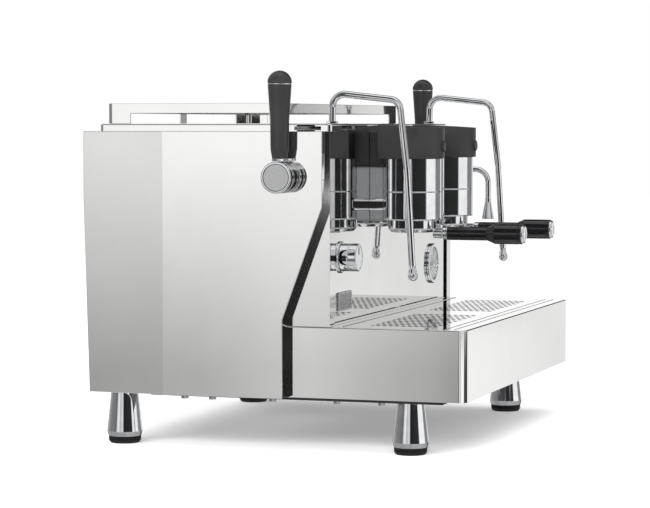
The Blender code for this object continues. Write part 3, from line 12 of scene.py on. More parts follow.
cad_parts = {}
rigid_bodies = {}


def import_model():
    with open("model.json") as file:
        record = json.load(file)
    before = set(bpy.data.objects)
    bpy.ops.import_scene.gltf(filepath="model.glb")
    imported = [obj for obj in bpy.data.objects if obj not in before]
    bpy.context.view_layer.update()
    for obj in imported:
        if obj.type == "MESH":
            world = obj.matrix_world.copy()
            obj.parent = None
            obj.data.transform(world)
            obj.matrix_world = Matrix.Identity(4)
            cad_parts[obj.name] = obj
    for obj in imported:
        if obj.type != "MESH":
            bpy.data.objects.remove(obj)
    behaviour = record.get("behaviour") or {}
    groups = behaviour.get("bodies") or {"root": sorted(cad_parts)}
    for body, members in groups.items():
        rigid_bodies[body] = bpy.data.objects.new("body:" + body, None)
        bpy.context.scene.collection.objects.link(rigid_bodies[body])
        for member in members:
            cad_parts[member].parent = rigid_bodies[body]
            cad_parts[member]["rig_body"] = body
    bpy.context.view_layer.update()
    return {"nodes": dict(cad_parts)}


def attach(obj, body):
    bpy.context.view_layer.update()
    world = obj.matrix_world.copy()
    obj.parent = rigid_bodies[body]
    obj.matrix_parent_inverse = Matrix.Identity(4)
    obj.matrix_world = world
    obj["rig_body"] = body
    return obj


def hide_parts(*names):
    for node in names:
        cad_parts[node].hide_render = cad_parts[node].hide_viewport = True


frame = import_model()

# Sizes and places that the solids have
GAP = 0.0003
SHEET = 0.002
CHASSIS_HALF = 0.3206
BOX_INNER = 0.3186
BOX_FRONT = -0.262
BOX_CORNER = 0.010
BOX_BACK = 0.010
LEDGE_WIDTH = 0.012
LEDGE_TOP = 0.1736
FACE_Y = -0.065
SHELF_FRONT = -0.079
REAR_FOOT_Y = 0.286
CREASE_Y = 0.171
PAN_Z = 0.072
PAN_RIM = 0.023
SKIRT_Z = 0.0784
DECK_Z = 0.1776
FLANGE_TOP = 0.1754
CROWN_Z = 0.4486
COVER_Z = 0.459
RAIL_Z = 0.488
HANDS = {"left": -1, "right": 1}
FOOT_X = 0.277
FOOT_Y = {"front": -0.172, "rear": 0.257}
GLAND = (0.2, 0.235)
GROUP_X = {"left": -0.1075, "right": 0.074}
GROUP_Y = -0.1253
BARREL_RADIUS = 0.0425
HOOD_RADIUS = 0.047
HOOD_FOOT = 0.409
BUTTON_Z = 0.426
HOLDER_Z = 0.3005
LEVER_Y, LEVER_Z = -0.009, 0.3855
WAND_X, WAND_Y = 0.255, -0.050
SPOUT_X, SPOUT_Z, SPOUT_REACH = 0.2, 0.3875, 0.096
SWITCH_X, SWITCH_Z = -0.2636, 0.272
GAUGE_X, GAUGE_Z = 0.2153, 0.238
BADGE_X, BADGE_Z = (-0.2776, -0.2156), (0.1965, 0.2225)

# Sizes that only the looks have
TUB_Z = 0.0745
TUB_Y = (-0.229, 0.200)
BOLT_X = 0.303
BOLT_Y = (-0.138, -0.073, 0.022, 0.112, 0.154)
CHEEK_PROUD = 0.003
SKIRT_FOLD = 0.0016
COVER_FOLD = 0.0018
PANEL_FOLD = 0.0052
DIAL_SWEEP, DIAL_START = 270, 225
DIAL_NUMBERS, DIAL_STEP = 6, 3
MARK_RADIUS, NUMBER_RADIUS = 0.0242, 0.0170

# How far a cutting shape runs on, how deep joined shapes meet, and the room round a barrel
OVERRUN = 0.006
FUSE = 0.001
BORE = BARREL_RADIUS + GAP

# The two ways to apply one shape to another
CUT, JOIN = "DIFFERENCE", "UNION"

# Facets of what is turned, swept and rounded, and the least angle of a sharp edge
SIDES = 96
FEW_SIDES = 48
FINE_SIDES = 64
BARREL_SIDES = 128
TUBE_SIDES = 32
ARC_STEPS = 8
SHARP_ANGLE = 32
HOLD = 0.0004

# A turned profile's height runs along local Z; these send it along world X or Y
ALONG_X = Matrix(((0, 0, 1, 0), (1, 0, 0, 0), (0, 1, 0, 0), (0, 0, 0, 1)))
ALONG_Y = Matrix(((1, 0, 0, 0), (0, 0, 1, 0), (0, 1, 0, 0), (0, 0, 0, 1)))
ALONG_Z = Matrix.Identity(4)


# Materials


def linear(code):
    """An sRGB hex colour as linear RGBA."""
    parts = [int(code[i:i + 2], 16) / 255 for i in (1, 3, 5)]
    return (*[p / 12.92 if p <= 0.04045 else ((p + 0.055) / 1.055) ** 2.4 for p in parts], 1)


def add(tree, kind, inputs=None, **settings):
    """Add a node. An input is a value, the socket it is linked from, or a node, for its first output."""
    made = tree.nodes.new(kind)
    for name, value in settings.items():
        setattr(made, name, value)
    for name, value in (inputs or {}).items():
        if isinstance(value, bpy.types.Node):
            value = value.outputs[0]
        if isinstance(value, bpy.types.NodeSocket):
            tree.links.new(value, made.inputs[name])
        else:
            made.inputs[name].default_value = value
    return made


def coat(name, noises, colours=(), hazes=(), relief=(), **fixed):
    """A material whose colour and roughness follow its first noise, and its relief the last.

    A noise is its cycles per metre along the piece's X, Y and Z, its detail and, if they are not the
    usual ones, its roughness and distortion. Colours and hazes are the low and the high end, relief
    is strength and depth, and the other words name sockets that keep one value."""
    made = bpy.data.materials.new(name)
    made.use_nodes = True
    tree = made.node_tree
    shader = tree.nodes["Principled BSDF"]
    for socket, value in fixed.items():
        shader.inputs[socket.replace("_", " ")].default_value = value
    place = add(tree, "ShaderNodeTexCoord").outputs["Object"]
    fields = []
    for scale, detail, *rest in noises:
        roughness, distortion = rest or (0.5, 0.0)
        sized = add(tree, "ShaderNodeMapping", {"Vector": place, "Scale": scale})
        fields.append(add(tree, "ShaderNodeTexNoise", {
            "Vector": sized, "Scale": 1.0, "Detail": detail, "Roughness": roughness,
            "Distortion": distortion}))
    if colours:
        ramp = add(tree, "ShaderNodeValToRGB", {"Fac": fields[0]})
        for mark, position, code in zip(ramp.color_ramp.elements, (0.35, 0.65), colours):
            mark.position = position
            mark.color = linear(code)
        tree.links.new(ramp.outputs[0], shader.inputs["Base Color"])
    if hazes:
        haze = add(tree, "ShaderNodeMapRange", {
            "Value": fields[0], "From Min": 0.3, "From Max": 0.7, "To Min": hazes[0], "To Max": hazes[1]})
        tree.links.new(haze.outputs[0], shader.inputs["Roughness"])
    if relief:
        bump = add(tree, "ShaderNodeBump", {
            "Height": fields[-1], "Strength": relief[0], "Distance": relief[1]})
        tree.links.new(bump.outputs[0], shader.inputs["Normal"])
    return made


def polished_sheet(name, colours, hazes):
    """Mirror-polished 304 sheet: a clear image, a little hazier where hands and cloths have been, and
    hairlines of the last polish that lie level. The real hairlines are finer; these are 1 mm apart."""
    return coat(name, (((9, 9, 9), 4.0, 0.6, 0.0), ((6, 6, 1000), 2.0)), colours, hazes, (0.02, 0.00002),
                Metallic=1.0)


def brushed_sheet(name, colours):
    """Satin 304 sheet: the grain of a brushing belt, 0.5 mm apart, blurs what it mirrors along it."""
    return coat(name, (((12, 1800, 1800), 3.0),), colours, (0.24, 0.36), (0.15, 0.00005), Metallic=1.0,
                Anisotropic=0.5)


def chrome_plate(name, colours, hazes):
    """Bright chrome on polished brass: a sharp image with a slight cool cast and faint wiping marks."""
    return coat(name, (((60, 60, 60), 4.0, 0.6, 0.0),), colours, hazes, Metallic=1.0)


def moulded(name, colours, hazes, grain, depth, **fixed):
    """Moulded plastic or rubber: one colour with the mould's fine grain, given in grains per metre."""
    return coat(name, (((22, 22, 22), 3.0), ((grain,) * 3, 2.0)), colours, hazes, (0.35, depth), **fixed)


def bare_metal(name, colours, hazes, grain):
    """Unpolished metal out of sight: uneven oxide colour over a slightly rough skin."""
    return coat(name, (((grain,) * 3, 5.0, 0.65, 0.6),), colours, hazes, (0.1, 0.0002), Metallic=1.0)


STEEL = polished_sheet("polished_304_sheet", ("#F5F5F4", "#F9F9F8"), (0.03, 0.06))
MILL = polished_sheet("bright_mill_304_sheet", ("#F0F0EF", "#F6F6F5"), (0.04, 0.08))
MIRROR = polished_sheet("superpolished_304_sheet", ("#F0F0EF", "#F5F5F4"), (0.012, 0.03))
SATIN = brushed_sheet("brushed_304_sheet", ("#B9BABA", "#D2D3D3"))
BRIGHT_SATIN = brushed_sheet("fine_brushed_304_sheet", ("#DDDEDE", "#F0F0F0"))
CHROME = chrome_plate("chrome_on_brass", ("#E4E5E8", "#F1F2F4"), (0.02, 0.05))
SOFT_CHROME = chrome_plate("satin_chrome_on_brass", ("#C9CACC", "#D9DADC"), (0.18, 0.26))
# Silver lacquer over a sand-cast brass body: metal flakes in a clear binder, on the casting's rippled skin
CASTING = coat("silver_lacquered_casting", (((900, 900, 900), 3.0, 0.6, 0.0),), ("#98999B", "#BEBFC1"),
               (0.45, 0.6), (0.3, 0.0003), Metallic=0.75)
# Painted shade: the inner walls of the side frames' proud cheeks are coloured dark and dull to stand for the
# shadow in the gap beside the recessed front
GAP_SHADE_DARK = bare_metal("painted_gap_shade_steel", ("#1C1D1F", "#2C2D2F"), (0.35, 0.5), 300)
# Black powder coat on mild steel: an orange-peel skin that dulls every highlight
POWDER = moulded("black_powder_coat", ("#17171A", "#1E1E20"), (0.38, 0.5), 900, 0.0002, IOR=1.5)
# Glass-filled nylon: dark grey, a broad dull sheen and a fine spark-eroded grain
NYLON = moulded("glass_filled_nylon", ("#1F1F20", "#272728"), (0.36, 0.46), 1600, 0.00012, IOR=1.53)
# Soft-touch lacquer on phenolic: a wide, low sheen down the side of the handle
SOFT_TOUCH = moulded("soft_touch_phenolic", ("#1E1E1F", "#252526"), (0.3, 0.4), 1800, 0.0001, IOR=1.5)
# Compression-moulded phenolic: deep black under a polished, glassy skin
PHENOLIC = moulded("polished_phenolic", ("#08080A", "#0C0C0E"), (0.1, 0.18), 500, 0.00002, IOR=1.6)
# Nitrile rubber: no sheen, faintly dusty
RUBBER = moulded("nitrile_rubber", ("#0C0C0C", "#141414"), (0.65, 0.8), 1200, 0.0003, IOR=1.52)
# Stoved enamel on the dial: flat white with a trace of texture
ENAMEL = moulded("white_dial_enamel", ("#DEDEDC", "#E6E6E4"), (0.42, 0.5), 1500, 0.00003, IOR=1.5)
# Printing ink on dial and knob, also used for the lever rings of painted shade: flat black without a
# highlight
PRINT_AND_SHADE_BLACK = moulded("black_print_and_painted_shade", ("#0E0E10", "#151517"), (0.5, 0.6), 2000, 0.00002, IOR=1.5)
# Lacquered needle: black with a soft highlight
LACQUER = moulded("black_needle_lacquer", ("#0B0B0C", "#121213"), (0.3, 0.4), 1500, 0.00002, IOR=1.5)
# Hammered enamel on the motor: mid grey, dimpled and half glossy
ENAMEL_GREY = moulded("grey_motor_enamel", ("#4A4D50", "#585B5E"), (0.35, 0.5), 260, 0.0004, IOR=1.5)
# ABS housing round the electronics: mid grey and matt
ABS_GREY = moulded("grey_abs_housing", ("#4C4F52", "#55585B"), (0.45, 0.55), 1400, 0.0001, IOR=1.54)
# Annealed copper: salmon where it is bare and brown where steam has touched it
COPPER = bare_metal("annealed_copper", ("#8A4B30", "#D08A64"), (0.25, 0.45), 40)
# Forged brass: yellow with dull brown patches
BRASS = bare_metal("forged_brass", ("#8C6A34", "#CDA45C"), (0.25, 0.42), 90)
# Flat float glass: nearly colourless, with the smallest greasy haze
GLASS = coat("float_glass", (((90, 90, 90), 3.0),), hazes=(0.0, 0.03), Transmission_Weight=1.0, IOR=1.5,
             Base_Color=linear("#F4FAF9"))


# Geometry


def at(x, y, z, direction=ALONG_Z):
    return Matrix.Translation((x, y, z)) @ direction


def soften(corners, closed=False, steps=ARC_STEPS):
    """Round a path's corners. Each is (point, radius), and a round gets a holding point each side,
    so that the flat stretches between rounds keep their own shading."""
    path = []
    count = len(corners)
    for i, (point, radius) in enumerate(corners):
        here = Vector(point)
        if radius == 0 or (not closed and i in (0, count - 1)):
            path.append(tuple(here))
            continue
        back = Vector(corners[i - 1][0]) - here
        ahead = Vector(corners[(i + 1) % count][0]) - here
        half = back.angle(ahead) / 2
        reach = radius / math.tan(half)
        hold = min(HOLD, radius)
        if back.length > 2 * (reach + hold):
            path.append(tuple(here + back.normalized() * (reach + hold)))
        start = here + back.normalized() * reach
        end = here + ahead.normalized() * reach
        centre = here + (back.normalized() + ahead.normalized()).normalized() * radius / math.sin(half)
        first, last = (start - centre).to_3d(), (end - centre).to_3d()
        for step in range(steps + 1):
            spoke = first.slerp(last, step / steps) * radius
            path.append(tuple(centre + spoke.resized(len(here))))
        if ahead.length > 2 * (reach + hold):
            path.append(tuple(here + ahead.normalized() * (reach + hold)))
    return path


def rounded(x, y, front, rear=None):
    """A rectangle between two x and two y values, with one radius at its front corners and one behind."""
    rear = front if rear is None else rear
    return soften((((x[0], y[0]), front), ((x[1], y[0]), front), ((x[1], y[1]), rear), ((x[0], y[1]), rear)),
                  True)


def add_loops(bm, loops, ring):
    rings = [[bm.verts.new(point) for point in loop] for loop in loops]
    pairs = list(zip(rings, rings[1:]))
    if ring:
        pairs.append((rings[-1], rings[0]))
    for low, high in pairs:
        count = max(len(low), len(high))
        for i in range(count):
            j = (i + 1) % count
            corners = [low[i % len(low)], low[j % len(low)], high[j % len(high)], high[i % len(high)]]
            bm.faces.new(list(dict.fromkeys(corners)))
    if not ring:
        for end in (rings[0], rings[-1]):
            if len(end) > 1:
                bm.faces.new(end)


def turned(profile, place, sides=SIDES, ring=False, bm=None):
    """Turn (radius, height, rounding) points about local Z."""
    bm = bm or bmesh.new()
    corners = [((point[0], point[1]), point[2] if len(point) > 2 else 0) for point in profile]
    loops = []
    for radius, height in soften(corners, ring, ARC_STEPS // 2):
        if radius < GAP / 10:
            loops.append([place @ Vector((0, 0, height))])
            continue
        turn = [2 * math.pi * i / sides for i in range(sides)]
        loops.append([place @ Vector((radius * math.cos(a), radius * math.sin(a), height)) for a in turn])
    add_loops(bm, loops, ring)
    return bm


def bore(radius, low, high, place, sides=SIDES, bm=None):
    return turned(((0, low), (radius, low), (radius, high), (0, high)), place, sides, bm=bm)


def prism(outline, place, low, high, bm=None):
    bm = bm or bmesh.new()
    add_loops(bm, [[place @ Vector((x, y, level)) for x, y in outline] for level in (low, high)], False)
    return bm


def block(x, y, z, bm=None):
    return prism(((x[0], y[0]), (x[1], y[0]), (x[1], y[1]), (x[0], y[1])), ALONG_Z, *z, bm=bm)


def swept(route, radii, sides=TUBE_SIDES):
    """Sweep a circle along a route that turns gently."""
    points = [Vector(point) for point in route]
    turn = [2 * math.pi * k / sides for k in range(sides)]
    side = None
    loops = []
    for i, point in enumerate(points):
        run = (points[min(i + 1, len(points) - 1)] - points[max(i - 1, 0)]).normalized()
        if side is None:
            side = run.orthogonal().normalized()
        side = (side - run * side.dot(run)).normalized()
        other = run.cross(side)
        loops.append([point + (side * math.cos(a) + other * math.sin(a)) * radii[i] for a in turn])
    bm = bmesh.new()
    add_loops(bm, loops, False)
    return bm


def arc(centre, radius, start, end, steps):
    turns = [math.radians(start + (end - start) * i / steps) for i in range(steps + 1)]
    return [(centre[0] + radius * math.cos(a), centre[1] + radius * math.sin(a)) for a in turns]


def inset(outline, distance):
    """Move each side of an anticlockwise outline inwards."""
    moved = []
    for i, here in enumerate(outline):
        before = (Vector(here) - Vector(outline[i - 1])).normalized()
        after = (Vector(outline[(i + 1) % len(outline)]) - Vector(here)).normalized()
        first, second = Vector((-before.y, before.x)), Vector((-after.y, after.x))
        mitre = (first + second).normalized()
        moved.append(tuple(Vector(here) + mitre * distance / mitre.dot(first)))
    return moved


def linked(name, data):
    made = bpy.data.objects.new(name, data)
    bpy.context.scene.collection.objects.link(made)
    return made


def raw(name, bm):
    bmesh.ops.recalc_face_normals(bm, faces=bm.faces)
    mesh = bpy.data.meshes.new(name)
    bm.to_mesh(mesh)
    bm.free()
    return linked(name, mesh)


def plain(source):
    """The evaluated shape of an object as a mesh of its own; the object goes."""
    bpy.context.view_layer.update()
    graph = bpy.context.evaluated_depsgraph_get()
    mesh = bpy.data.meshes.new_from_object(source.evaluated_get(graph))
    bpy.data.objects.remove(source)
    return mesh


def whole_faces(mesh, distance):
    """A mesh as a bmesh, with what lies closer than a distance merged and its flat faces whole."""
    bm = bmesh.new()
    bm.from_mesh(mesh)
    bmesh.ops.remove_doubles(bm, verts=bm.verts, dist=distance)
    bmesh.ops.dissolve_limit(bm, angle_limit=math.radians(0.5), verts=bm.verts, edges=bm.edges)
    return bm


def carve(bm, *steps):
    """Apply (CUT or JOIN, shape) steps, and give the shape back as a bmesh."""
    target = raw("work", bm)
    others = []
    for operation, shape in steps:
        others.append(raw("tool", shape))
        step = target.modifiers.new(operation, "BOOLEAN")
        step.operation = operation
        step.solver = "EXACT"
        step.object = others[-1]
    mesh = plain(target)
    for other in others:
        bpy.data.objects.remove(other)
    return whole_faces(mesh, 0.000005)


def finish_piece(made, finish, body, replaced=None, slot=None, edge=0.0, sharp=SHARP_ANGLE):
    """Shade a piece, ease its edges, and tie it to its body and node; the slot is not used."""
    made.data.shade_smooth()
    made.data.set_sharp_from_angle(angle=math.radians(sharp))
    if finish:
        made.data.materials.append(finish)
    if edge:
        ease = made.modifiers.new("eased_edges", "BEVEL")
        ease.width = edge
        ease.segments = 3
        ease.limit_method = "ANGLE"
        ease.angle_limit = math.radians(sharp)
        ease.harden_normals = True
    even = made.modifiers.new("even_shading", "WEIGHTED_NORMAL")
    even.keep_sharp = True
    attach(made, body)
    if replaced:
        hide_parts(replaced)
    return made


def piece(name, bm, *ties, **edges):
    """Make a piece of a bmesh; the rest is what finish_piece takes."""
    return finish_piece(raw(name, bm), *ties, **edges)


def copied(node):
    return whole_faces(frame["nodes"][node].data, 0.00001)


def eased(node, finish, edge, slot):
    return piece(f"{node}_shell", copied(node), finish, frame["nodes"][node]["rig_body"], node, slot, edge)


def second_finish(made, finish, is_part):
    """Give the faces that a test picks a second material."""
    made.data.materials.append(finish)
    for face in made.data.polygons:
        if is_part(face):
            face.material_index = 1


def folded(made, radius, is_fold):
    """Give the edges that a test picks the wider round of a fold, ahead of the small eased edges."""
    weights = made.data.attributes.new("bevel_weight_edge", "FLOAT", "EDGE")
    for edge in made.data.edges:
        first, second = (made.data.vertices[i].co for i in edge.vertices)
        weights.data[edge.index].value = 1.0 if is_fold(first, second) else 0.0
    bend = made.modifiers.new("folds", "BEVEL")
    bend.width = radius
    bend.segments = 5
    bend.limit_method = "WEIGHT"
    bend.harden_normals = True
    made.modifiers.move(len(made.modifiers) - 1, 0)


def tree_for(name, values):
    """A geometry tree with an input for each value; gives the tree, its inputs' sockets by label, and
    the labels' identifiers."""
    tree = bpy.data.node_groups.new(name, "GeometryNodeTree")
    tree.interface.new_socket("Geometry", in_out="INPUT", socket_type="NodeSocketGeometry")
    tree.interface.new_socket("Geometry", in_out="OUTPUT", socket_type="NodeSocketGeometry")
    known = {}
    for label, value in values.items():
        kind = "NodeSocketInt" if isinstance(value, int) else "NodeSocketFloat"
        known[label] = tree.interface.new_socket(label, in_out="INPUT", socket_type=kind).identifier
    return tree, tree.nodes.new("NodeGroupInput").outputs, known


def close_tree(tree, geometry, finish):
    """Make a tree's instances real, give them their finish, and send them out."""
    real = add(tree, "GeometryNodeRealizeInstances", {"Geometry": geometry})
    dressed = add(tree, "GeometryNodeSetMaterial", {"Geometry": real, "Material": finish})
    add(tree, "NodeGroupOutput", {0: dressed})


def grown(name, start, tree, known, values, *ties, **edges):
    """Run a geometry tree on a starting mesh, and keep the result as a plain piece."""
    source = linked(name + "_seed", start)
    step = source.modifiers.new("grow", "NODES")
    step.node_group = tree
    for label, value in values.items():
        step[known[label]] = value
    return finish_piece(linked(name, plain(source)), None, *ties, **edges)


# Body


def base():
    """Powder-coated pan with satin chrome bolts below, and the power gland."""
    half = BOX_INNER - GAP
    depth = (BOX_FRONT + SHEET + GAP, REAR_FOOT_Y - SHEET - GAP)
    outline = rounded((-half, half), depth, BOX_CORNER - SHEET, 0)
    tub = rounded((FUSE - half, half - FUSE), TUB_Y, 0)
    step = SKIRT_Z + FUSE / 2
    beyond = PAN_Z + PAN_RIM + OVERRUN
    pan = carve(prism(outline, ALONG_Z, step, PAN_Z + PAN_RIM),
                (JOIN, prism(tub, ALONG_Z, TUB_Z, step + FUSE)),
                (CUT, prism(inset(outline, SHEET), ALONG_Z, step + SHEET, beyond)),
                (CUT, prism(inset(tub, SHEET), ALONG_Z, TUB_Z + SHEET, beyond)),
                (CUT, bore(0.0083, -0.012, 0.012, at(*GLAND, step), FEW_SIDES)))
    piece("base_pan_shell", pan, POWDER, "machine", "base_pan", "black_paint", 0.0005)

    start = bpy.data.meshes.new("bolt_places")
    start.from_pydata([(x, y, TUB_Z) for x in (-BOLT_X, BOLT_X) for y in BOLT_Y], [], [])
    sizes = {"Head radius": 0.0055, "Head height": 0.005}
    tree, feed, known = tree_for("hex_bolts", sizes)
    shaft = add(tree, "GeometryNodeMeshCylinder", {
        "Vertices": 6, "Radius": feed["Head radius"], "Depth": feed["Head height"]})
    drop = add(tree, "ShaderNodeMath", {0: feed["Head height"], 1: -0.5}, operation="MULTIPLY")
    placed = add(tree, "GeometryNodeTransform", {
        "Geometry": shaft, "Translation": add(tree, "ShaderNodeCombineXYZ", {"Z": drop})})
    spots = add(tree, "GeometryNodeInstanceOnPoints", {"Points": feed["Geometry"], "Instance": placed})
    close_tree(tree, spots, SOFT_CHROME)
    grown("base_bolts", start, tree, known, sizes, "machine", slot="chrome", edge=0.0006)

    low, nut = -0.020, -0.008
    body = ((0.005, low), (0.0094, low, 0.0008), (0.013, low + SHEET, 0.001), (0.013, nut, 0.0006),
            (0.0118, nut + 0.0012), (0.013, nut + 0.0024, 0.0004), (0.013, -GAP), (0.008, -GAP),
            (0.008, 0.012), (0.005, 0.012))
    piece("power_gland_body", turned(body, at(*GLAND, PAN_Z), FEW_SIDES, ring=True), NYLON, "machine",
          "power_gland", "matte_black")


def feet():
    for end, y in FOOT_Y.items():
        for hand, sign in HANDS.items():
            place = at(sign * FOOT_X, y, 0)
            top = TUB_Z - GAP if end == "front" else SKIRT_Z
            cone = ((0, 0.0103), (0.0238, 0.0103, 0.0003), (0.0253, 0.0165), (0.0255, 0.0172, 0.0002),
                    (0.0190, top, 0.0003), (0, top))
            made = piece(f"foot_cone_{end}_{hand}", turned(cone, place), CHROME, "machine",
                         f"foot_{end}_{hand}", "chrome")
            second_finish(made, SOFT_CHROME, lambda face: face.center.z < 0.0168)
            pad = ((0, 0), (0.0205, 0, 0.0008), (0.023, 0.0035, 0.0012), (0.0233, 0.0062, 0.0005),
                   (0.0228, 0.0066), (0.0233, 0.0070, 0.0003), (0.0233, 0.0100, 0.0003), (0, 0.0100))
            piece(f"foot_rubber_{end}_{hand}", turned(pad, place), RUBBER, "machine",
                  f"foot_pad_{end}_{hand}", "rubber")


def u_band(outer, front, corner, wall, back):
    """The outline of a wall round three sides, open behind."""
    inner = outer - wall
    tight = max(corner - wall, 0.0002)
    return [*soften((((-outer, back), 0), ((-outer, front), corner), ((outer, front), corner),
                     ((outer, back), 0))),
            *soften((((inner, back), 0), ((inner, front + wall), tight), ((-inner, front + wall), tight),
                     ((-inner, back), 0)))]


def on_skirt(point):
    """Whether a point lies on the top edge of the drip box's outer wall."""
    side = abs(point.x) - (CHASSIS_HALF - BOX_CORNER)
    front = BOX_FRONT + BOX_CORNER - point.y
    reach = math.hypot(max(side, 0), max(front, 0))
    return point.z > DECK_Z - FUSE / 10 and reach > BOX_CORNER - SHEET / 2


def drip_box():
    wall = prism(u_band(CHASSIS_HALF, BOX_FRONT, BOX_CORNER, SHEET, BOX_BACK), ALONG_Z, SKIRT_Z, DECK_Z)
    ledge = prism(u_band(BOX_INNER + FUSE, BOX_FRONT + SHEET - FUSE, BOX_CORNER - SHEET, LEDGE_WIDTH + FUSE,
                         BOX_BACK - FUSE), ALONG_Z, LEDGE_TOP - SHEET, LEDGE_TOP)
    made = piece("drip_box_skirt", carve(wall, (JOIN, ledge)), STEEL, "machine", "drip_box",
                 "polished_steel", 0.0004)
    folded(made, SKIRT_FOLD, lambda one, two: on_skirt(one) and on_skirt(two))


def slot_field(tree, feed, place, columns, rows, slot):
    """A staggered field of slots, with every other row pushed sideways."""
    wide = add(tree, "ShaderNodeMath", {0: feed["Column pitch"], 1: columns - 1}, operation="MULTIPLY")
    deep = add(tree, "ShaderNodeMath", {0: feed["Row pitch"], 1: rows - 1}, operation="MULTIPLY")
    field = add(tree, "GeometryNodeMeshGrid", {
        "Size X": wide, "Size Y": deep, "Vertices X": columns, "Vertices Y": rows})
    here = add(tree, "ShaderNodeSeparateXYZ", {"Vector": add(tree, "GeometryNodeInputPosition")})
    stagger = add(tree, "ShaderNodeMath", {0: feed["Column pitch"], 1: feed["Stagger share"]},
                  operation="MULTIPLY")
    shift = here.outputs["Y"]
    for operation, second in (("DIVIDE", feed["Row pitch"]), ("ROUND", 0.0), ("ABSOLUTE", 0.0),
                              ("MODULO", 2.0), ("SUBTRACT", 0.5), ("MULTIPLY", stagger)):
        shift = add(tree, "ShaderNodeMath", {0: shift, 1: second}, operation=operation)
    staggered = add(tree, "GeometryNodeSetPosition", {
        "Geometry": field, "Offset": add(tree, "ShaderNodeCombineXYZ", {"X": shift})})
    centred = add(tree, "GeometryNodeTransform", {"Geometry": staggered, "Translation": (*place, 0)})
    spots = add(tree, "GeometryNodeInstanceOnPoints", {"Points": centred, "Instance": slot})
    return add(tree, "GeometryNodeRealizeInstances", {"Geometry": spots})


def drip_grid():
    """Polished plate with two staggered fields of slots, grown from its outline."""
    half = BOX_INNER - GAP
    front = BOX_FRONT + SHEET + GAP
    back = SHELF_FRONT - GAP
    outline = rounded((-half, half), (front, back), BOX_CORNER - SHEET - GAP, 0)
    start = bpy.data.meshes.new("grid_outline")
    count = len(outline)
    start.from_pydata([(x, y, 0) for x, y in outline], [(i, (i + 1) % count) for i in range(count)], [])
    sizes = {"Slot length": 0.0145, "Slot width": 0.0030, "Column pitch": 0.0262, "Row pitch": 0.0046,
             "Stagger share": 0.26, "Thickness": 0.0019}
    tree, feed, known = tree_for("slotted_plate", sizes)
    edge = add(tree, "GeometryNodeMeshToCurve", {"Mesh": feed["Geometry"]})
    slot = add(tree, "GeometryNodeCurvePrimitiveQuadrilateral", {
        "Width": feed["Slot length"], "Height": feed["Slot width"]})
    ends = add(tree, "ShaderNodeMath", {0: feed["Slot width"], 1: 0.48}, operation="MULTIPLY")
    slot = add(tree, "GeometryNodeFilletCurve", {"Curve": slot, "Radius": ends, "Count": 3}, mode="POLY")
    fields = [slot_field(tree, feed, place, 9, 21, slot) for place in ((-0.1625, -0.161), (0.142, -0.161))]
    joined = tree.nodes.new("GeometryNodeJoinGeometry")
    for curve in (edge, *fields):
        tree.links.new(curve.outputs[0], joined.inputs[0])
    filled = add(tree, "GeometryNodeFillCurve", {"Curve": joined})
    rise = add(tree, "ShaderNodeCombineXYZ", {"Z": feed["Thickness"]})
    thick = add(tree, "GeometryNodeExtrudeMesh", {
        "Mesh": filled, "Offset": rise, "Offset Scale": 1.0, "Individual": False})
    under = add(tree, "GeometryNodeFlipFaces", {"Mesh": filled})
    whole = tree.nodes.new("GeometryNodeJoinGeometry")
    for part in (thick, under):
        tree.links.new(part.outputs[0], whole.inputs[0])
    closed = add(tree, "GeometryNodeMergeByDistance", {"Geometry": whole, "Distance": 0.00001})
    lifted = add(tree, "GeometryNodeTransform", {"Geometry": closed, "Translation": (0, 0, FLANGE_TOP + GAP)})
    close_tree(tree, lifted, STEEL)
    grown("drip_grid_plate", start, tree, known, sizes, "grid", "drip_grid", "brushed_steel")

    beads = bmesh.new()
    top = FLANGE_TOP + GAP + sizes["Thickness"]
    reach = half - 0.012
    for y, rise in ((back - 0.0020, 0.0009), (front + 0.017, 0.0005), (front + 0.030, 0.0005)):
        ridge = soften((((y, top - FUSE), 0), ((y, top), 0), ((y + 0.0003, top + rise), 0.0002),
                        ((y + 0.0010, top + rise), 0.0003), ((y + 0.0018, top), 0),
                        ((y + 0.0018, top - FUSE), 0)))
        prism(ridge, ALONG_X, -reach, reach, beads)
    piece("drip_grid_beads", beads, STEEL, "grid", None, "brushed_steel")


def on_rim(point):
    """Whether a point lies on the top cover's outer wall."""
    return abs(point.x) > 0.2975 or point.y < FACE_Y + 0.0065 or point.y > 0.2755


def top_cover():
    outline = rounded((-0.305, 0.305), (FACE_Y, 0.2825), 0.006)
    windows = bmesh.new()
    holes = bmesh.new()
    height = (CROWN_Z + 0.0015, COVER_Z - SHEET - 0.0015)
    for sign in HANDS.values():
        block(sorted((sign * 0.299, sign * 0.311)), (-0.050, -0.011), height, windows)
        block(sorted((sign * 0.178, sign * 0.257)), (FACE_Y - OVERRUN, FACE_Y + SHEET + FUSE), height,
              windows)
        bore(0.0071, -0.003, OVERRUN, at(sign * WAND_X, WAND_Y, COVER_Z - SHEET), FEW_SIDES, holes)
    deck = prism(inset(rail_outline(), SHEET + FUSE), ALONG_Z, COVER_Z - FUSE, COVER_Z + 0.0005)
    cover = carve(prism(outline, ALONG_Z, CROWN_Z, COVER_Z),
                  (CUT, prism(inset(outline, SHEET), ALONG_Z, CROWN_Z - OVERRUN, COVER_Z - SHEET)),
                  (CUT, windows), (CUT, holes), (JOIN, deck))
    made = piece("top_cover_shell", cover, STEEL, "machine", "top_cover", "polished_steel", 0.0004)
    folded(made, COVER_FOLD, lambda one, two: min(one.z, two.z) > COVER_Z - FUSE / 10 and
           max(one.z, two.z) < COVER_Z + FUSE / 10 and on_rim(one) and on_rim(two))


def rail_outline():
    return rounded((-0.297, 0.297), (0.017, 0.274), 0.004, 0.008)


